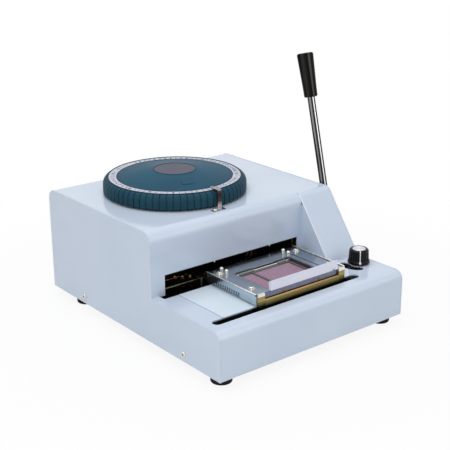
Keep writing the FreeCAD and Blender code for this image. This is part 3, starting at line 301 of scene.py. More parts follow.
def painted_reflection_bar_effect():
    """Bright drawn bar with painted reflections: dark and light streaks painted along it, all
    the way round.
    """
    group, given, result = start_group("painted_reflection_bar", [("Lines", 900.0)])
    around = group.nodes.new("ShaderNodeTexGradient")
    around.gradient_type = "RADIAL"
    group.links.new(given.outputs["Vector"], around.inputs["Vector"])
    streaks = group.nodes.new("ShaderNodeValToRGB")
    # Share of the way round the bar, and the painted reflection's brightness there
    levels = [
        (0.0, 0.02), (0.02, 0.03), (0.04, 0.34), (0.09, 0.34), (0.11, 0.02),
        (0.182, 0.02), (0.196, 1.0), (0.224, 1.0), (0.238, 0.02), (0.40, 0.04),
        (0.44, 0.5), (0.52, 0.4), (0.56, 0.03), (0.62, 0.9), (0.7, 0.9),
        (0.73, 0.05), (0.8, 0.4), (0.87, 0.4), (0.9, 0.02), (1.0, 0.02),
    ]
    for position, _ in levels[1:-1]:
        streaks.color_ramp.elements.new(position)
    for element, (position, level) in zip(streaks.color_ramp.elements, levels):
        element.position = position
        element.color = (level, level, level, 1.0)
    group.links.new(around.outputs["Fac"], streaks.inputs["Fac"])
    group.links.new(streaks.outputs["Color"], result.inputs["Tone"])
    lines = noise(group, given, "Lines", detail=4.0)
    group.links.new(lines, result.inputs["Height"])
    return group


ENAMEL = enamel_effect()
BRUSHED = brushed_effect()
MOULDED = moulded_effect()
WOVEN = woven_effect()
SPUN = spun_effect()
PAINTED_REFLECTION_BAR = painted_reflection_bar_effect()
RELIEF_DEPTH = 0.2


def finish(
    name, dark, light, roughness, effect, values, bump,
    metallic=0.0, stretch=(1, 1, 1), gloss=0.5, centre=None, lean=0.0,
):
    """A material of two shades, with its roughness and bump from one of the effects.

    The effect is stretched along the axes, or stands about a centre and leans back from it.
    """
    material = bpy.data.materials.new(name)
    material.use_nodes = True
    nodes = material.node_tree.nodes
    links = material.node_tree.links
    shader = nodes["Principled BSDF"]
    shader.inputs["Metallic"].default_value = metallic
    shader.inputs["Specular IOR Level"].default_value = gloss
    where = nodes.new("ShaderNodeTexCoord")
    turn = nodes.new("ShaderNodeMapping")
    if centre:
        turn.vector_type = "TEXTURE"
        turn.inputs["Location"].default_value = place(*centre)
        turn.inputs["Rotation"].default_value = (math.radians(-lean), 0, 0)
    else:
        turn.inputs["Scale"].default_value = stretch
    links.new(where.outputs["Object"], turn.inputs["Vector"])
    surface = nodes.new("ShaderNodeGroup")
    surface.node_tree = effect
    links.new(turn.outputs["Vector"], surface.inputs["Vector"])
    for label, value in values.items():
        surface.inputs[label].default_value = value
    shades = nodes.new("ShaderNodeMix")
    shades.data_type = "RGBA"
    shades.inputs["A"].default_value = dark
    shades.inputs["B"].default_value = light
    links.new(surface.outputs["Tone"], shades.inputs["Factor"])
    links.new(shades.outputs["Result"], shader.inputs["Base Color"])
    rough = nodes.new("ShaderNodeMapRange")
    rough.inputs["To Min"].default_value = roughness[0]
    rough.inputs["To Max"].default_value = roughness[1]
    links.new(surface.outputs["Tone"], rough.inputs["Value"])
    links.new(rough.outputs["Result"], shader.inputs["Roughness"])
    relief = nodes.new("ShaderNodeBump")
    relief.inputs["Strength"].default_value = bump
    relief.inputs["Distance"].default_value = mm(RELIEF_DEPTH)
    links.new(surface.outputs["Height"], relief.inputs["Height"])
    links.new(relief.outputs["Normal"], shader.inputs["Normal"])
    return material


def place_along(material, axis, low, high):
    """A value that goes from 0 to 1 between two places along one of the machine's axes."""
    nodes = material.node_tree.nodes
    links = material.node_tree.links
    number = "XYZ".index(axis)
    split = nodes.new("ShaderNodeSeparateXYZ")
    links.new(nodes["Texture Coordinate"].outputs["Object"], split.inputs["Vector"])
    remap = nodes.new("ShaderNodeMapRange")
    remap.inputs["From Min"].default_value = mm(low + ORIGIN[number])
    remap.inputs["From Max"].default_value = mm(high + ORIGIN[number])
    links.new(split.outputs[axis], remap.inputs["Value"])
    return remap.outputs["Result"]


def tint_along(material, axis, stops):
    """Tint a finish by its place along one of the machine's axes; here it paints shade and
    highlights, and gives the lip its yellow.
    """
    nodes = material.node_tree.nodes
    links = material.node_tree.links
    shader = nodes["Principled BSDF"]
    low, high = stops[0][0], stops[-1][0]
    ramp = nodes.new("ShaderNodeValToRGB")
    shares = [(spot - low) / (high - low) for spot, _ in stops]
    for share in shares[1:-1]:
        ramp.color_ramp.elements.new(share)
    for element, share, (_, tint) in zip(ramp.color_ramp.elements, shares, stops):
        element.position = share
        element.color = tint
    links.new(place_along(material, axis, low, high), ramp.inputs["Fac"])
    mixed = nodes.new("ShaderNodeMix")
    mixed.data_type = "RGBA"
    mixed.blend_type = "MULTIPLY"
    mixed.inputs["Factor"].default_value = 1.0
    links.new(shader.inputs["Base Color"].links[0].from_socket, mixed.inputs["A"])
    links.new(ramp.outputs["Color"], mixed.inputs["B"])
    links.new(mixed.outputs["Result"], shader.inputs["Base Color"])


# Finishes
pale_enamel = finish(
    "pale_enamel", colour(203, 216, 233), colour(209, 221, 238), roughness=(0.1, 0.14),
    effect=ENAMEL, values={"Cloud": 9.0, "Ripple": 700.0}, bump=0.02,
)
# Painted light: a lighter copy of the cover's enamel for the table plate
lit_table_enamel = finish(
    "lit_table_enamel", colour(217, 231, 242), colour(222, 235, 246), roughness=(0.1, 0.14),
    effect=ENAMEL, values={"Cloud": 9.0, "Ripple": 700.0}, bump=0.02,
)
# Painted highlight: a lighter copy of the cover's enamel for the shroud's fold
painted_highlight_enamel = finish(
    "painted_highlight_enamel", colour(236, 241, 248), colour(242, 246, 252), roughness=(0.1, 0.14),
    effect=ENAMEL, values={"Cloud": 9.0, "Ripple": 700.0}, bump=0.02,
)
# Painted shadow: the grey of the lines along the panel seam and the table's edge
seam_shadow_grey = finish(
    "seam_shadow_grey", colour(176, 190, 202), colour(182, 196, 208), roughness=(0.4, 0.5),
    effect=ENAMEL, values={"Cloud": 9.0, "Ripple": 700.0}, bump=0.02, gloss=0.2,
)
inner_paint = finish(
    "inner_paint", colour(30, 27, 24), colour(38, 35, 31), roughness=(0.5, 0.62),
    effect=ENAMEL, values={"Cloud": 14.0, "Ripple": 900.0}, bump=0.1, gloss=0.2,
)
base_paint = finish(
    "base_paint", colour(74, 76, 80), colour(86, 88, 92), roughness=(0.5, 0.62),
    effect=ENAMEL, values={"Cloud": 14.0, "Ripple": 900.0}, bump=0.1,
)
clamp_enamel = finish(
    "clamp_enamel", colour(226, 227, 244), colour(234, 235, 250), roughness=(0.3, 0.4),
    effect=ENAMEL, values={"Cloud": 20.0, "Ripple": 900.0}, bump=0.05,
)
black_rubber = finish(
    "black_rubber", colour(12, 12, 12), colour(20, 20, 20), roughness=(0.7, 0.85),
    effect=MOULDED, values={"Patch": 60.0, "Grain": 1800.0}, bump=0.3, gloss=0.2,
)
teal_plastic = finish(
    "teal_plastic", colour(36, 80, 103), colour(42, 88, 111), roughness=(0.4, 0.5),
    effect=MOULDED, values={"Patch": 25.0, "Grain": 1500.0}, bump=0.3, gloss=0.05,
)
# Painted shade: the dark teal of the rib lines and the ring's rims
teal_shade = finish(
    "teal_shade", colour(12, 34, 44), colour(16, 40, 50), roughness=(0.5, 0.6),
    effect=MOULDED, values={"Patch": 25.0, "Grain": 1500.0}, bump=0.2, gloss=0.1,
)
black_plastic = finish(
    "black_plastic", colour(12, 11, 13), colour(19, 18, 20), roughness=(0.34, 0.46),
    effect=MOULDED, values={"Patch": 90.0, "Grain": 2600.0}, bump=0.1, gloss=0.16,
)
# Painted highlights: the grip's bright streaks are painted into its colour over near-black
black_grip_painted_highlights = finish(
    "black_grip_painted_highlights", colour(4, 3, 2), colour(78, 76, 73), roughness=(0.26, 0.3),
    effect=PAINTED_REFLECTION_BAR, values={"Lines": 900.0}, bump=0.02, gloss=0.06,
    centre=LEVER_AXIS, lean=LEVER_LEAN,
)
grey_label = finish(
    "grey_label", colour(74, 74, 90), colour(84, 84, 100), roughness=(0.4, 0.5),
    effect=MOULDED, values={"Patch": 50.0, "Grain": 3000.0}, bump=0.04, gloss=0.15,
)
ring_metal = finish(
    "ring_metal", colour(184, 188, 204), colour(202, 206, 221), roughness=(0.36, 0.46),
    effect=BRUSHED, values={"Lines": 90.0}, bump=0.04, metallic=0.2, gloss=0.3,
)
polished_steel = finish(
    "polished_steel", colour(176, 177, 180), colour(206, 207, 210), roughness=(0.12, 0.2),
    effect=BRUSHED, values={"Lines": 70.0}, bump=0.03, metallic=1.0, stretch=(1, 1, 0.05),
)
# Painted reflection: the rod's dark edges and white highlight are streaks painted into its
# colour
lever_steel_painted_reflections = finish(
    "lever_steel_painted_reflections", colour(12, 11, 10), colour(232, 232, 234), roughness=(0.14, 0.2),
    effect=PAINTED_REFLECTION_BAR, values={"Lines": 900.0}, bump=0.02, metallic=0.9, gloss=0.3,
    centre=LEVER_AXIS, lean=LEVER_LEAN,
)
pointer_steel = finish(
    "pointer_steel", colour(196, 194, 196), colour(226, 224, 226), roughness=(0.14, 0.22),
    effect=BRUSHED, values={"Lines": 300.0}, bump=0.03, metallic=0.9,
)
plated_steel = finish(
    "plated_steel", colour(206, 203, 196), colour(228, 225, 219), roughness=(0.2, 0.3),
    effect=BRUSHED, values={"Lines": 300.0}, bump=0.04, metallic=0.75,
)
machined_steel = finish(
    "machined_steel", colour(58, 55, 52), colour(76, 72, 68), roughness=(0.3, 0.42),
    effect=BRUSHED, values={"Lines": 120.0}, bump=0.1, metallic=1.0, stretch=(0.1, 1, 1),
)
type_steel = finish(
    "type_steel", colour(150, 128, 98), colour(196, 172, 136), roughness=(0.18, 0.3),
    effect=BRUSHED, values={"Lines": 260.0}, bump=0.1, metallic=1.0,
)
# Painted shade: near-black steel for the wheels deep in the works and the window's guide strip
painted_shade_steel = finish(
    "painted_shade_steel", colour(16, 13, 10), colour(24, 20, 16), roughness=(0.4, 0.55),
    effect=BRUSHED, values={"Lines": 160.0}, bump=0.08, metallic=0.4, gloss=0.2,
)
bronze = finish(
    "bronze", colour(140, 106, 66), colour(164, 130, 84), roughness=(0.34, 0.46),
    effect=BRUSHED, values={"Lines": 200.0}, bump=0.1, metallic=1.0,
)
dull_zinc = finish(
    "dull_zinc", colour(136, 146, 120), colour(156, 166, 138), roughness=(0.24, 0.34),
    effect=BRUSHED, values={"Lines": 200.0}, bump=0.05, metallic=0.8,
)
copper = finish(
    "copper", colour(176, 116, 96), colour(204, 142, 120), roughness=(0.2, 0.3),
    effect=BRUSHED, values={"Lines": 200.0}, bump=0.05, metallic=1.0,
)
sheet_steel = finish(
    "sheet_steel", colour(176, 190, 200), colour(194, 208, 216), roughness=(0.14, 0.22),
    effect=BRUSHED, values={"Lines": 80.0}, bump=0.05, metallic=0.95, stretch=(1, 0.06, 1),
)
yellow_zinc = finish(
    "yellow_zinc", colour(244, 232, 222), colour(232, 234, 222), roughness=(0.22, 0.34),
    effect=BRUSHED, values={"Lines": 40.0}, bump=0.05, metallic=0.8, stretch=(0.4, 1, 1),
)
# Partly painted sheen: the cap's spun rings are real, its bright bands are painted
spun_cap = finish(
    "spun_cap", colour(196, 198, 208), colour(240, 241, 247), roughness=(0.22, 0.32),
    effect=SPUN, values={"Rings": 1400.0, "SheenRays": 2.0}, bump=0.05, metallic=0.6,
    centre=(*KNOB_AXIS, KNOB_TOP),
)
mauve_laminate = finish(
    "mauve_laminate", colour(104, 82, 92), colour(126, 100, 112), roughness=(0.4, 0.55),
    effect=WOVEN, values={"Threads": 4200.0}, bump=0.12, gloss=0.3,
)
mauve_card = finish(
    "mauve_card", colour(140, 106, 126), colour(170, 136, 156), roughness=(0.24, 0.32),
    effect=WOVEN, values={"Threads": 2900.0}, bump=0.06, gloss=0.3,
)
white_mark = finish(
    "white_mark", colour(224, 224, 226), colour(234, 234, 236), roughness=(0.45, 0.55),
    effect=MOULDED, values={"Patch": 120.0, "Grain": 2000.0}, bump=0.03,
)
dark_print = finish(
    "dark_print", colour(40, 46, 58), colour(52, 58, 70), roughness=(0.45, 0.55),
    effect=MOULDED, values={"Patch": 120.0, "Grain": 2000.0}, bump=0.02, gloss=0.2,
)
# Painted shade: the dark of the screws' driving recesses
recess_painted_shade = finish(
    "recess_painted_shade", colour(30, 28, 27), colour(40, 38, 36), roughness=(0.5, 0.6),
    effect=MOULDED, values={"Patch": 200.0, "Grain": 2600.0}, bump=0.05, gloss=0.2,
)

# Painted shade and highlights along one axis each: the lip darkens down into its slot in painted
# shade and has a painted highlight band, the frame, the dial's skirt and the pointer darken in
# painted shade, and the pointer has painted highlights. Each stop is a place along the axis and
# its tint.
# Lip: painted shade down into the slot, a painted highlight band along its face, and its yellow
# plating
tint_along(yellow_zinc, "Z", [
    (57.0, colour(14, 11, 6)),
    (60.5, colour(34, 28, 14)),
    (62.5, colour(72, 66, 36)),
    (65.0, colour(118, 110, 68)),
    (66.6, colour(136, 116, 70)),
    (68.2, colour(190, 164, 110)),
    (72.4, colour(182, 156, 104)),
    (73.0, colour(104, 82, 50)),
    (73.6, colour(255, 250, 240)),
    (77.0, colour(255, 252, 246)),
])
# Frame: painted shade low on its sides, and its top plate a shade darker than its sides
tint_along(sheet_steel, "Z", [
    (61.0, colour(226, 226, 226)),
    (75.0, colour(255, 255, 255)),
    (75.5, colour(216, 213, 218)),
    (78.0, colour(216, 213, 218)),
])
# Frame: painted shade on its front wall under the flap and toward the works
tint_along(sheet_steel, "Y", [
    (30.0, colour(160, 148, 164)),
    (31.2, colour(160, 148, 164)),
    (31.6, colour(255, 255, 255)),
    (90.0, colour(255, 255, 255)),
    (112.0, colour(232, 232, 230)),
    (128.0, colour(190, 186, 184)),
    (190.0, colour(120, 116, 112)),
])
# Dial: painted shade darkening down its skirt
tint_along(teal_plastic, "Z", [
    (TOP + 2.0, colour(222, 206, 196)),
    (TOP + 18.0, colour(234, 220, 210)),
    (TOP + 22.0, colour(236, 236, 236)),
    (TOP + 30.0, colour(255, 255, 255)),
])
# Pointer: painted shade where it stands against the dial, and painted highlights below and above
# it
tint_along(pointer_steel, "Z", [
    (TOP, colour(150, 150, 155)),
    (TOP + 2.5, colour(220, 220, 224)),
    (TOP + 6.5, colour(150, 142, 142)),
    (TOP + 9.5, colour(84, 70, 66)),
    (TOP + 18.5, colour(56, 44, 40)),
    (TOP + 22.5, colour(90, 78, 76)),
    (TOP + 23.5, colour(166, 158, 160)),
    (TOP + 25.5, colour(176, 168, 170)),
])


def part_clamp_finish():
    """The clamp's thin bars are bare steel, and the flap above them is enamelled."""
    nodes = clamp_enamel.node_tree.nodes
    links = clamp_enamel.node_tree.links
    shader = nodes["Principled BSDF"]
    bare_steel = colour(122, 126, 122)
    bare_metallic = 0.9
    above = place_along(clamp_enamel, "Z", CLAMP_BARS_TOP, FLAP_FOOT)
    tones = nodes.new("ShaderNodeMix")
    tones.data_type = "RGBA"
    tones.inputs["A"].default_value = bare_steel
    links.new(above, tones.inputs["Factor"])
    links.new(shader.inputs["Base Color"].links[0].from_socket, tones.inputs["B"])
    links.new(tones.outputs["Result"], shader.inputs["Base Color"])
    bare = nodes.new("ShaderNodeMapRange")
    bare.inputs["To Min"].default_value = bare_metallic
    bare.inputs["To Max"].default_value = 0.0
    links.new(above, bare.inputs["Value"])
    links.new(bare.outputs["Result"], shader.inputs["Metallic"])


part_clamp_finish()

NODE_FINISHES = {
    pale_enamel: ("housing_cover", "lever_shroud", "left_side_panel", "right_side_panel"),
    lit_table_enamel: ("table_plate",),
    inner_paint: ("left_frame_plate", "right_frame_plate", "bridge_plate", "rod_brackets"),
    base_paint: ("base_plate",),
    black_rubber: ("rubber_feet",),
    plated_steel: ("side_screws", "pointer_screw", "frame_screws", "dome_pins", "dial_screw"),
    pointer_steel: ("pointer",),
    lever_steel_painted_reflections: ("lever_rod",),
    polished_steel: (
        "carriage_rods", "drive_shaft", "lower_shaft", "spindle", "clamp_pin", "upper_plunger",
        "lower_plunger", "lever_hub",
    ),
    machined_steel: (
        "wheel_sleeve", "index_plate", "detent_arm", "upper_crank", "lower_crank", "link_rod",
        "feed_rack", "feed_pawl", "pawl_post", "line_detent",
    ),
    painted_shade_steel: ("upper_press_beam", "lower_press_beam", "lower_wheel", "upper_wheel"),
    type_steel: ("upper_punches", "lower_dies"),
    bronze: ("upper_bearing", "lower_bearing", "shaft_bushes", "carriage_bushes"),
    teal_plastic: ("dial",),
    ring_metal: ("character_ring",),
    grey_label: ("dial_disc",),
    black_plastic: ("dial_base_plate", "selector_knob", "selector_stud"),
    black_grip_painted_highlights: ("lever_grip",),
    spun_cap: ("knob_cap",),
    yellow_zinc: ("carriage_plate",),
    sheet_steel: ("card_frame", "guide_rails"),
    mauve_laminate: ("card_bed",),
    mauve_card: ("blank_card",),
    clamp_enamel: ("clamp_bezel",),
}
for material, names in NODE_FINISHES.items():
    for name in names:
        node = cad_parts[name]
        node.data.materials.clear()
        node.data.materials.append(material)


# Modelling helpers
CURVED = math.radians(35)


def clear_selection():
    bpy.ops.object.select_all(action="DESELECT")


def take_up(piece):
    """Make one piece the only selected and active one."""
    clear_selection()
    piece.select_set(True)
    bpy.context.view_layer.objects.active = piece


def settle(piece):
    """Put a piece's place into its mesh and leave its object at the origin."""
    take_up(piece)
    bpy.ops.object.transform_apply(location=True, rotation=True, scale=True)
    return piece


def stand(piece, spot, facing=(0, 0, 1)):
    """Stand an upright piece on a spot, turned so that its top faces a direction."""
    piece.location = place(*spot)
    piece.rotation_euler = Vector(facing).to_track_quat("Z", "Y").to_euler()
    return settle(piece)


def twin(piece):
    """A copy of a piece with its own mesh."""
    copy = piece.copy()
    copy.data = piece.data.copy()
    bpy.context.collection.objects.link(copy)
    return copy


def join(pieces, name):
    """One piece made of several, under its own name."""
    clear_selection()
    for piece in pieces:
        piece.select_set(True)
    bpy.context.view_layer.objects.active = pieces[0]
    if len(pieces) > 1:
        bpy.ops.object.join()
    joined = bpy.context.view_layer.objects.active
    joined.name = name
    joined.data.name = name
    return settle(joined)


def dress(piece, material, body):
    """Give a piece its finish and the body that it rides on."""
    piece.data.materials.clear()
    piece.data.materials.append(material)
    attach(piece, body)


def pick_faces(piece, chosen):
    """Enter edit mode with only the chosen faces selected."""
    take_up(piece)
    bpy.ops.object.mode_set(mode="EDIT")
    bpy.ops.mesh.select_mode(type="FACE")
    bpy.ops.mesh.select_all(action="DESELECT")
    bpy.ops.object.mode_set(mode="OBJECT")
    for face in piece.data.polygons:
        face.select = chosen(face)
    bpy.ops.object.mode_set(mode="EDIT")


def pick_all(piece):
    """Enter edit mode with the whole piece selected."""
    take_up(piece)
    bpy.ops.object.mode_set(mode="EDIT")
    bpy.ops.mesh.select_all(action="SELECT")


def smooth(piece):
    """Leave edit mode with curved faces smooth and corners crisp."""
    bpy.ops.object.mode_set(mode="OBJECT")
    take_up(piece)
    bpy.ops.object.shade_smooth_by_angle(angle=CURVED)
    return piece


def apply_modifier(piece, modifier):
    take_up(piece)
    bpy.ops.object.modifier_apply(modifier=modifier.name)


def thicken(piece, thickness, offset):
    """Give a thin sheet its thickness: outward with an offset of 1, to both sides with 0."""
    wall = piece.modifiers.new("thickness", "SOLIDIFY")
    wall.thickness = mm(thickness)
    wall.offset = offset
    apply_modifier(piece, wall)


def round_bar(start, end, radius, chamfer):
    """A round bar between two points of the machine, with its end rims bevelled."""
    run = Vector(end) - Vector(start)
    clear_selection()
    bpy.ops.mesh.primitive_cylinder_add(vertices=16, radius=mm(radius), depth=mm(run.length))
    bar = bpy.context.object
    pick_faces(bar, lambda face: abs(face.normal.z) > 0.9)
    bpy.ops.mesh.bevel(offset=mm(chamfer), segments=2, affect="EDGES")
    smooth(bar)
    return stand(bar, (Vector(start) + Vector(end)) / 2, run)


def rolled_arc(x, bend, reach, radius):
    """A round bead about a bend's middle, from straight above it to straight in front."""
    clear_selection()
    bpy.ops.mesh.primitive_circle_add(
        vertices=12, radius=mm(radius), fill_type="NGON",
        location=place(x, bend[0], bend[1] + reach), rotation=(math.radians(90), 0, 0),
    )
    arc = settle(bpy.context.object)
    pick_faces(arc, lambda face: True)
    bpy.ops.mesh.spin(
        steps=10, angle=math.radians(90), center=place(x, *bend), axis=(1, 0, 0),
    )
    bpy.ops.mesh.select_all(action="SELECT")
    bpy.ops.mesh.normals_make_consistent(inside=False)
    return smooth(arc)


def screw_head(radius, height):
    """An upright pan head with a rounded rim and a shallow dish, its foot at the origin."""
    rim_round = height * 0.4
    dish_rim = radius * 0.35
    dish_depth = height * 0.3
    clear_selection()
    bpy.ops.mesh.primitive_cylinder_add(
        vertices=24, radius=mm(radius), depth=mm(height), location=(0, 0, mm(height / 2)),
    )
    head = bpy.context.object
    pick_faces(head, lambda face: face.normal.z > 0.9)
    bpy.ops.mesh.bevel(offset=mm(rim_round), segments=3, affect="EDGES")
    bpy.ops.object.mode_set(mode="OBJECT")
    pick_faces(head, lambda face: face.normal.z > 0.99)
    bpy.ops.mesh.inset(thickness=mm(dish_rim))
    bpy.ops.mesh.extrude_region_move(TRANSFORM_OT_translate={"value": (0, 0, -mm(dish_depth))})
    return settle(smooth(head))


def cross_recess(reach, width, depth):
    """The dark cross of a screw's driving recess, upright with its middle at the origin."""
    clear_selection()
    bpy.ops.mesh.primitive_cube_add(size=1)
    cross = bpy.context.object
    cross.scale = (mm(width), mm(width), mm(depth))
    settle(cross)
    pick_faces(cross, lambda face: abs(face.normal.z) < 0.1)
    arm = mm(reach - width / 2)
    bpy.ops.mesh.extrude_faces_move(TRANSFORM_OT_shrink_fatten={"value": arm})
    bpy.ops.object.mode_set(mode="OBJECT")
    return cross


def ring_bead(radius, half, height):
    """A low round bead about the dial's axis, with its underside pressed flat."""
    clear_selection()
    spot = place(*DIAL_AXIS, height)
    bpy.ops.mesh.primitive_torus_add(
        major_segments=128, minor_segments=10,
        major_radius=mm(radius), minor_radius=mm(half), location=spot,
    )
    bead = settle(bpy.context.object)
    pick_faces(bead, lambda face: face.normal.z < -0.3)
    bpy.ops.transform.resize(value=(1, 1, 0.3), center_override=spot)
    return smooth(bead)


# Characters around the dial's ring
def make_dial_characters():
    letters = []
    step = 2 * math.pi / len(CHARACTERS)
    for number, character in enumerate(CHARACTERS):
        angle = -math.pi / 2 + number * step
        clear_selection()
        bpy.ops.object.text_add(location=(0, 0, 0))
        letter = bpy.context.object
        letter.data.body = character
        letter.data.size = mm(CHARACTER_SIZE)
        letter.data.align_x = "CENTER"
        letter.data.align_y = "CENTER"
        letter.data.resolution_u = 2
        letter.data.extrude = mm(CHARACTER_HALF)
        bpy.ops.object.convert(target="MESH")
        letter.location = place(
            DIAL_AXIS[0] + RING_MIDDLE * math.cos(angle),
            DIAL_AXIS[1] + RING_MIDDLE * math.sin(angle),
            RING_TOP + CHARACTER_HALF,
        )
        letter.rotation_euler = (0, 0, angle + math.pi / 2)
        letters.append(settle(letter))
    characters = join(letters, "dial_characters")
    merge_distance = mm(0.002)
    pick_all(characters)
    bpy.ops.mesh.remove_doubles(threshold=merge_distance)
    bpy.ops.mesh.dissolve_degenerate(threshold=merge_distance)
    bpy.ops.mesh.normals_make_consistent(inside=False)
    dress(smooth(characters), dark_print, "type_wheel")


# Raised rims outside and inside the ring, and about the disc, dark in painted shade
def make_dial_rims():
    rims = [
        ring_bead(radius=89.3, half=0.75, height=RING_TOP),
        ring_bead(radius=77.6, half=0.45, height=RING_TOP + 0.1),
        ring_bead(radius=28.2, half=0.4, height=DISC_TOP),
    ]
    dress(join(rims, "dial_rims"), teal_shade, "type_wheel")


# Painted shade: dark lines standing in for the ribs' shadows over the dial's shoulder
def make_rib_lines():
    clear_selection()
    bpy.ops.mesh.primitive_grid_add(x_subdivisions=10, y_subdivisions=2, size=mm(1))
    line = bpy.context.object
    line.scale = (*RIB_LINE_SIZE, 1)
    line.rotation_euler = (0, math.radians(RIB_LINE_SLOPE), 0)
    line.location = place(DIAL_AXIS[0] + RIB_LINE_RADIUS, DIAL_AXIS[1], RIB_LINE_HEIGHT)
    settle(line)
    wrap = line.modifiers.new("lay_on_shoulder", "SHRINKWRAP")
    wrap.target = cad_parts["dial"]
    wrap.wrap_mode = "ABOVE_SURFACE"
    wrap.offset = mm(0.04)
    apply_modifier(line, wrap)
    thicken(line, thickness=0.2, offset=1)
    lines = [line]
    for number in range(1, RIB_COUNT):
        copy = twin(line)
        pick_all(copy)
        bpy.ops.transform.rotate(
            value=number * 2 * math.pi / RIB_COUNT, orient_axis="Z",
            center_override=place(*DIAL_AXIS, TOP),
        )
        bpy.ops.object.mode_set(mode="OBJECT")
        lines.append(copy)
    dress(join(lines, "rib_lines"), teal_shade, "type_wheel")


# Shallow square pad on the dial's cone
def make_dial_pad():
    clear_selection()
    bpy.ops.mesh.primitive_grid_add(x_subdivisions=16, y_subdivisions=14, size=mm(1))
    pad = bpy.context.object
    pad.scale = (*PAD_SIZE, 1)
    angle = math.radians(PAD_ANGLE)
    pad.rotation_euler = (0, 0, angle + math.pi / 2)
    pad.location = place(
        DIAL_AXIS[0] + PAD_RADIUS * math.cos(angle),
        DIAL_AXIS[1] + PAD_RADIUS * math.sin(angle),
        PAD_START,
    )
    settle(pad)
    wrap = pad.modifiers.new("lay_on_cone", "SHRINKWRAP")
    wrap.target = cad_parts["dial"]
    wrap.wrap_method = "PROJECT"
    wrap.use_project_z = True
    wrap.use_positive_direction = False
    wrap.use_negative_direction = True
    wrap.offset = mm(0.02)
    apply_modifier(pad, wrap)
    thicken(pad, thickness=0.55, offset=1)
    edge = pad.modifiers.new("soft_edge", "BEVEL")
    edge.width = mm(0.18)
    edge.segments = 2
    apply_modifier(pad, edge)
    pad.name = "dial_pad"
    dress(pad, teal_plastic, "type_wheel")


# White line from the cap's rim over the knob's edge and down to its flange, ending in an arrow
def make_knob_line():
    first_reach, first_height = KNOB_LINE_PATH[0]
    clear_selection()
    bpy.ops.mesh.primitive_plane_add(
        size=mm(KNOB_LINE_WIDTH),
        location=(mm(first_reach - KNOB_LINE_WIDTH / 2), 0, mm(first_height - KNOB_LOW)),
    )
    line = settle(bpy.context.object)
    bpy.ops.object.mode_set(mode="EDIT")
    bpy.ops.mesh.select_mode(type="EDGE")
    bpy.ops.mesh.select_all(action="DESELECT")
    bpy.ops.object.mode_set(mode="OBJECT")
    corners = line.data.vertices
    for edge in line.data.edges:
        edge.select = all(abs(corners[v].co.x - mm(first_reach)) < 1e-6 for v in edge.vertices)
    bpy.ops.object.mode_set(mode="EDIT")
    for before, after, share in zip(KNOB_LINE_PATH, KNOB_LINE_PATH[1:], KNOB_LINE_SPREAD):
        move = (mm(after[0] - before[0]), 0, mm(after[1] - before[1]))
        bpy.ops.mesh.extrude_edges_move(TRANSFORM_OT_translate={"value": move})
        pivot = (mm(after[0]), 0, mm(after[1] - KNOB_LOW))
        bpy.ops.transform.resize(value=(1, share, 1), center_override=pivot)
    bpy.ops.object.mode_set(mode="OBJECT")
    thicken(line, thickness=0.25, offset=0)
    line.rotation_euler = (0, 0, math.radians(KNOB_TURN))
    line.location = place(*KNOB_AXIS, KNOB_LOW)
    settle(line)
    line.name = "knob_line"
    dress(line, white_mark, "selector")


# Driving recesses of the screws that show, sunk into their heads and dark in painted shade
def make_recesses():
    frame_sink = 0.1
    side_sink = 0.145
    pattern = cross_recess(reach=2.2, width=0.8, depth=0.3)
    frame_crosses = [
        stand(twin(pattern), (x, y, FRAME_SCREW_TOP - frame_sink)) for x, y in FRAME_SCREWS
    ]
    dress(join(frame_crosses, "frame_screw_recesses"), recess_painted_shade, "card_holder")
    side_crosses = []
    for side, y in SIDE_SCREWS:
        spot = (side * (SIDE_SCREW_FACE - side_sink), y, SIDE_SCREW_HEIGHT)
        side_crosses.append(stand(twin(pattern), spot, facing=(side, 0, 0)))
    dress(join(side_crosses, "side_screw_recesses"), recess_painted_shade, "housing")
    bpy.data.objects.remove(pattern)


# Rolled edges that catch the light: the frame's hems and the lip, which shares the lip's painted
# shade and highlight, and the shroud's fold, whose bright line is a painted highlight
def make_rolled_edges():
    front, back = HEM_ENDS
    hems = [
        round_bar((x, front, HEM_HEIGHT), (x, back, HEM_HEIGHT), radius=0.8, chamfer=0.3)
        for x in HEM_LINES
    ]
    dress(join(hems, "frame_hems"), plated_steel, "card_holder")
    left, right = LIP_ENDS
    roll = round_bar((left, *LIP_EDGE), (right, *LIP_EDGE), radius=1.15, chamfer=0.3)
    dress(join([roll], "lip_roll"), yellow_zinc, "carriage")
    fold = round_bar((FOLD_LINE, *FOLD_FOOT), (FOLD_LINE, *FOLD_HEAD), radius=0.8, chamfer=0.3)
    bend = rolled_arc(FOLD_BEND_LINE, TOP_BEND, reach=13.6, radius=0.7)
    dress(join([fold, bend], "shroud_fold"), painted_highlight_enamel, "housing")


# Painted shadow: grey lines where the left panel meets the cover, and at the table's left edge
def make_seam_shadows():
    runs = [
        (PANEL_SEAM, (TOP_BEND[0], COVER_SEAM_END), TOP + 0.1, 0.4),
        (PANEL_SEAM, (DECK_BEND[0], DECK_SEAM_END), DECK + 0.1, 0.4),
        (TABLE_SEAM, TABLE_SEAM_ENDS, DECK + 0.3, 0.5),
    ]
    cover, deck, table = [
        round_bar((x, front, z), (x, back, z), radius, chamfer=0.1)
        for x, (front, back), z, radius in runs
    ]
    cover_bend = rolled_arc(PANEL_SEAM, TOP_BEND, reach=14.1, radius=0.4)
    deck_bend = rolled_arc(PANEL_SEAM, DECK_BEND, reach=11.1, radius=0.4)
    seams = [cover, cover_bend, deck, deck_bend, table]
    dress(join(seams, "seam_shadow_lines"), seam_shadow_grey, "housing")


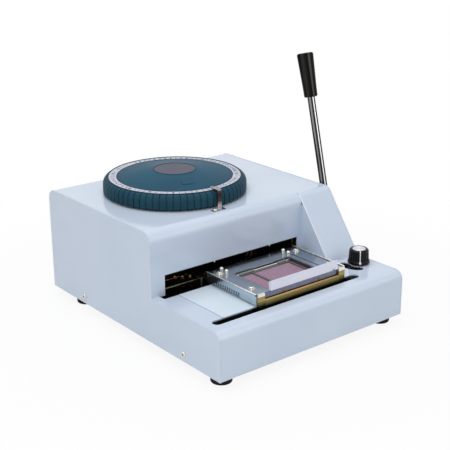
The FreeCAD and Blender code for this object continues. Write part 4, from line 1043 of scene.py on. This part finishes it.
# Small brass screws on the frame's front wall
def make_front_screws():
    pattern = screw_head(radius=1.5, height=0.9)
    heads = [
        stand(twin(pattern), (x, FRONT_SCREW_FACE, FRONT_SCREW_HEIGHT), facing=FORWARD)
        for x in FRONT_SCREWS
    ]
    dress(join(heads, "front_screws"), bronze, "card_holder")
    bpy.data.objects.remove(pattern)


# What shows of the works through the window
def make_inner_works():
    stop_bar = round_bar(
        (WORKS_LEFT, STOP_BAR_DEPTH, WORKS_BAR_HEIGHT),
        (STOP_BAR_END, STOP_BAR_DEPTH, WORKS_BAR_HEIGHT),
        radius=0.8, chamfer=0.2,
    )
    stop_post = round_bar(
        (*STOP_POST, WORKS_FLOOR), (*STOP_POST, STOP_POST_TOP), radius=1.2, chamfer=0.3,
    )
    dress(join([stop_bar, stop_post], "feed_stop_bar"), dull_zinc, "housing")
    spring_post = round_bar(
        (WORKS_LEFT, SPRING_POST_DEPTH, WORKS_BAR_HEIGHT),
        (SPRING_POST_END, SPRING_POST_DEPTH, WORKS_BAR_HEIGHT),
        radius=0.7, chamfer=0.2,
    )
    dress(join([spring_post], "spring_post"), copper, "housing")
    tie_post = round_bar(
        (*TIE_POST, WORKS_FLOOR), (*TIE_POST, TIE_POST_TOP), radius=1.5, chamfer=0.3,
    )
    dress(join([tie_post], "tie_post"), bronze, "housing")


# Guide strip behind the window's upper edge, near black in painted shade, with its two screws
def make_window_guide():
    clear_selection()
    bpy.ops.mesh.primitive_cube_add(size=1, location=place(*GUIDE_MIDDLE))
    strip = bpy.context.object
    strip.scale = [mm(side) for side in GUIDE_SIZE]
    settle(strip)
    pick_faces(strip, lambda face: face.normal.y < -0.9)
    bpy.ops.mesh.bevel(offset=mm(0.4), segments=2, affect="EDGES")
    smooth(strip)
    dress(join([strip], "window_guide"), painted_shade_steel, "housing")
    pattern = screw_head(radius=1.2, height=1.0)
    heads = [
        stand(twin(pattern), (x, WINDOW_SCREW_FACE, WINDOW_SCREW_HEIGHT), facing=FORWARD)
        for x in WINDOW_SCREWS
    ]
    dress(join(heads, "window_screws"), plated_steel, "housing")
    bpy.data.objects.remove(pattern)


make_dial_characters()
make_dial_rims()
make_rib_lines()
make_dial_pad()
make_knob_line()
make_recesses()
make_rolled_edges()
make_seam_shadows()
make_front_screws()
make_inner_works()
make_window_guide()


# Camera, light and floor
def set_camera():
    """Camera at the photograph's angle, from its fitted place, turn and focal length."""
    azimuth = math.radians(CAMERA_AZIMUTH)
    elevation = math.radians(CAMERA_ELEVATION)
    roll = math.radians(CAMERA_ROLL)
    back = Vector((
        math.sin(azimuth) * math.cos(elevation),
        -math.cos(azimuth) * math.cos(elevation),
        math.sin(elevation),
    ))
    level = Vector((0, 0, 1)).cross(back).normalized()
    upright = back.cross(level)
    right = level * math.cos(roll) + upright * math.sin(roll)
    up = upright * math.cos(roll) - level * math.sin(roll)
    data = bpy.data.cameras.new("photo_camera")
    data.sensor_width = CAMERA_SENSOR
    data.lens = CAMERA_LENS
    data.clip_end = 50
    camera = bpy.data.objects.new("photo_camera", data)
    bpy.context.collection.objects.link(camera)
    turn = Matrix((right, up, back)).transposed().to_4x4()
    camera.matrix_world = Matrix.Translation(place(*CAMERA_SPOT)) @ turn
    bpy.context.scene.camera = camera


def seen_directly(tree):
    """One where the camera, a reflection or a see-through surface looks, and zero for light."""
    path = tree.nodes.new("ShaderNodeLightPath")
    total = path.outputs["Is Camera Ray"]
    for label in ("Is Glossy Ray", "Is Transmission Ray"):
        total = combine(tree, "MAXIMUM", total, path.outputs[label])
    return total


def set_world():
    """Soft light from all around, and plain white where the backdrop is seen."""
    world = bpy.data.worlds.new("studio")
    world.use_nodes = True
    bpy.context.scene.world = world
    nodes = world.node_tree.nodes
    links = world.node_tree.links
    light = nodes["Background"]
    light.inputs["Color"].default_value = ROOM_TINT
    light.inputs["Strength"].default_value = ROOM_STRENGTH
    white = nodes.new("ShaderNodeBackground")
    white.inputs["Color"].default_value = WHITE
    white.inputs["Strength"].default_value = 1.0
    choice = nodes.new("ShaderNodeMixShader")
    links.new(seen_directly(world.node_tree), choice.inputs["Fac"])
    links.new(light.outputs["Background"], choice.inputs[1])
    links.new(white.outputs["Background"], choice.inputs[2])
    links.new(choice.outputs["Shader"], nodes["World Output"].inputs["Surface"])


def add_lamp(name, spot, target, size, power):
    """A round soft lamp at a spot, aimed at a target."""
    data = bpy.data.lights.new(name, "AREA")
    data.shape = "DISK"
    data.size = size
    data.energy = power
    lamp = bpy.data.objects.new(name, data)
    bpy.context.collection.objects.link(lamp)
    lamp.location = spot
    aim = Vector(target) - Vector(spot)
    lamp.rotation_euler = aim.to_track_quat("-Z", "Y").to_euler()


def make_floor():
    """A pale floor that goes to the backdrop's white away from the machine and its shadow."""
    clear_selection()
    bpy.ops.mesh.primitive_plane_add(size=FLOOR_SIZE, location=(0, 0, FLOOR_HEIGHT))
    floor = bpy.context.object
    floor.name = "floor"
    material = bpy.data.materials.new("pale_floor")
    material.use_nodes = True
    tree = material.node_tree
    shader = tree.nodes["Principled BSDF"]
    shader.inputs["Base Color"].default_value = FLOOR_GREY
    shader.inputs["Roughness"].default_value = 0.9
    shader.inputs["Specular IOR Level"].default_value = 0.1
    glow = tree.nodes.new("ShaderNodeEmission")
    glow.inputs["Strength"].default_value = 1.0
    where = tree.nodes.new("ShaderNodeTexCoord")
    reach = tree.nodes.new("ShaderNodeVectorMath")
    reach.operation = "LENGTH"
    tree.links.new(where.outputs["Object"], reach.inputs[0])
    fade = tree.nodes.new("ShaderNodeMapRange")
    fade.interpolation_type = "SMOOTHSTEP"
    fade.inputs["From Min"].default_value = GLOW_NEAR
    fade.inputs["From Max"].default_value = GLOW_FAR
    fade.inputs["To Min"].default_value = GLOW_SHARE
    fade.inputs["To Max"].default_value = 1.0
    tree.links.new(reach.outputs["Value"], fade.inputs["Value"])
    share = combine(tree, "MULTIPLY", seen_directly(tree), fade.outputs["Result"])
    choice = tree.nodes.new("ShaderNodeMixShader")
    tree.links.new(share, choice.inputs["Fac"])
    tree.links.new(shader.outputs["BSDF"], choice.inputs[1])
    tree.links.new(glow.outputs["Emission"], choice.inputs[2])
    tree.links.new(choice.outputs["Shader"], tree.nodes["Material Output"].inputs["Surface"])
    floor.data.materials.append(material)


set_camera()
set_world()
for lamp in LAMPS:
    add_lamp(**lamp)
make_floor()
bpy.context.scene.view_settings.view_transform = "Standard"
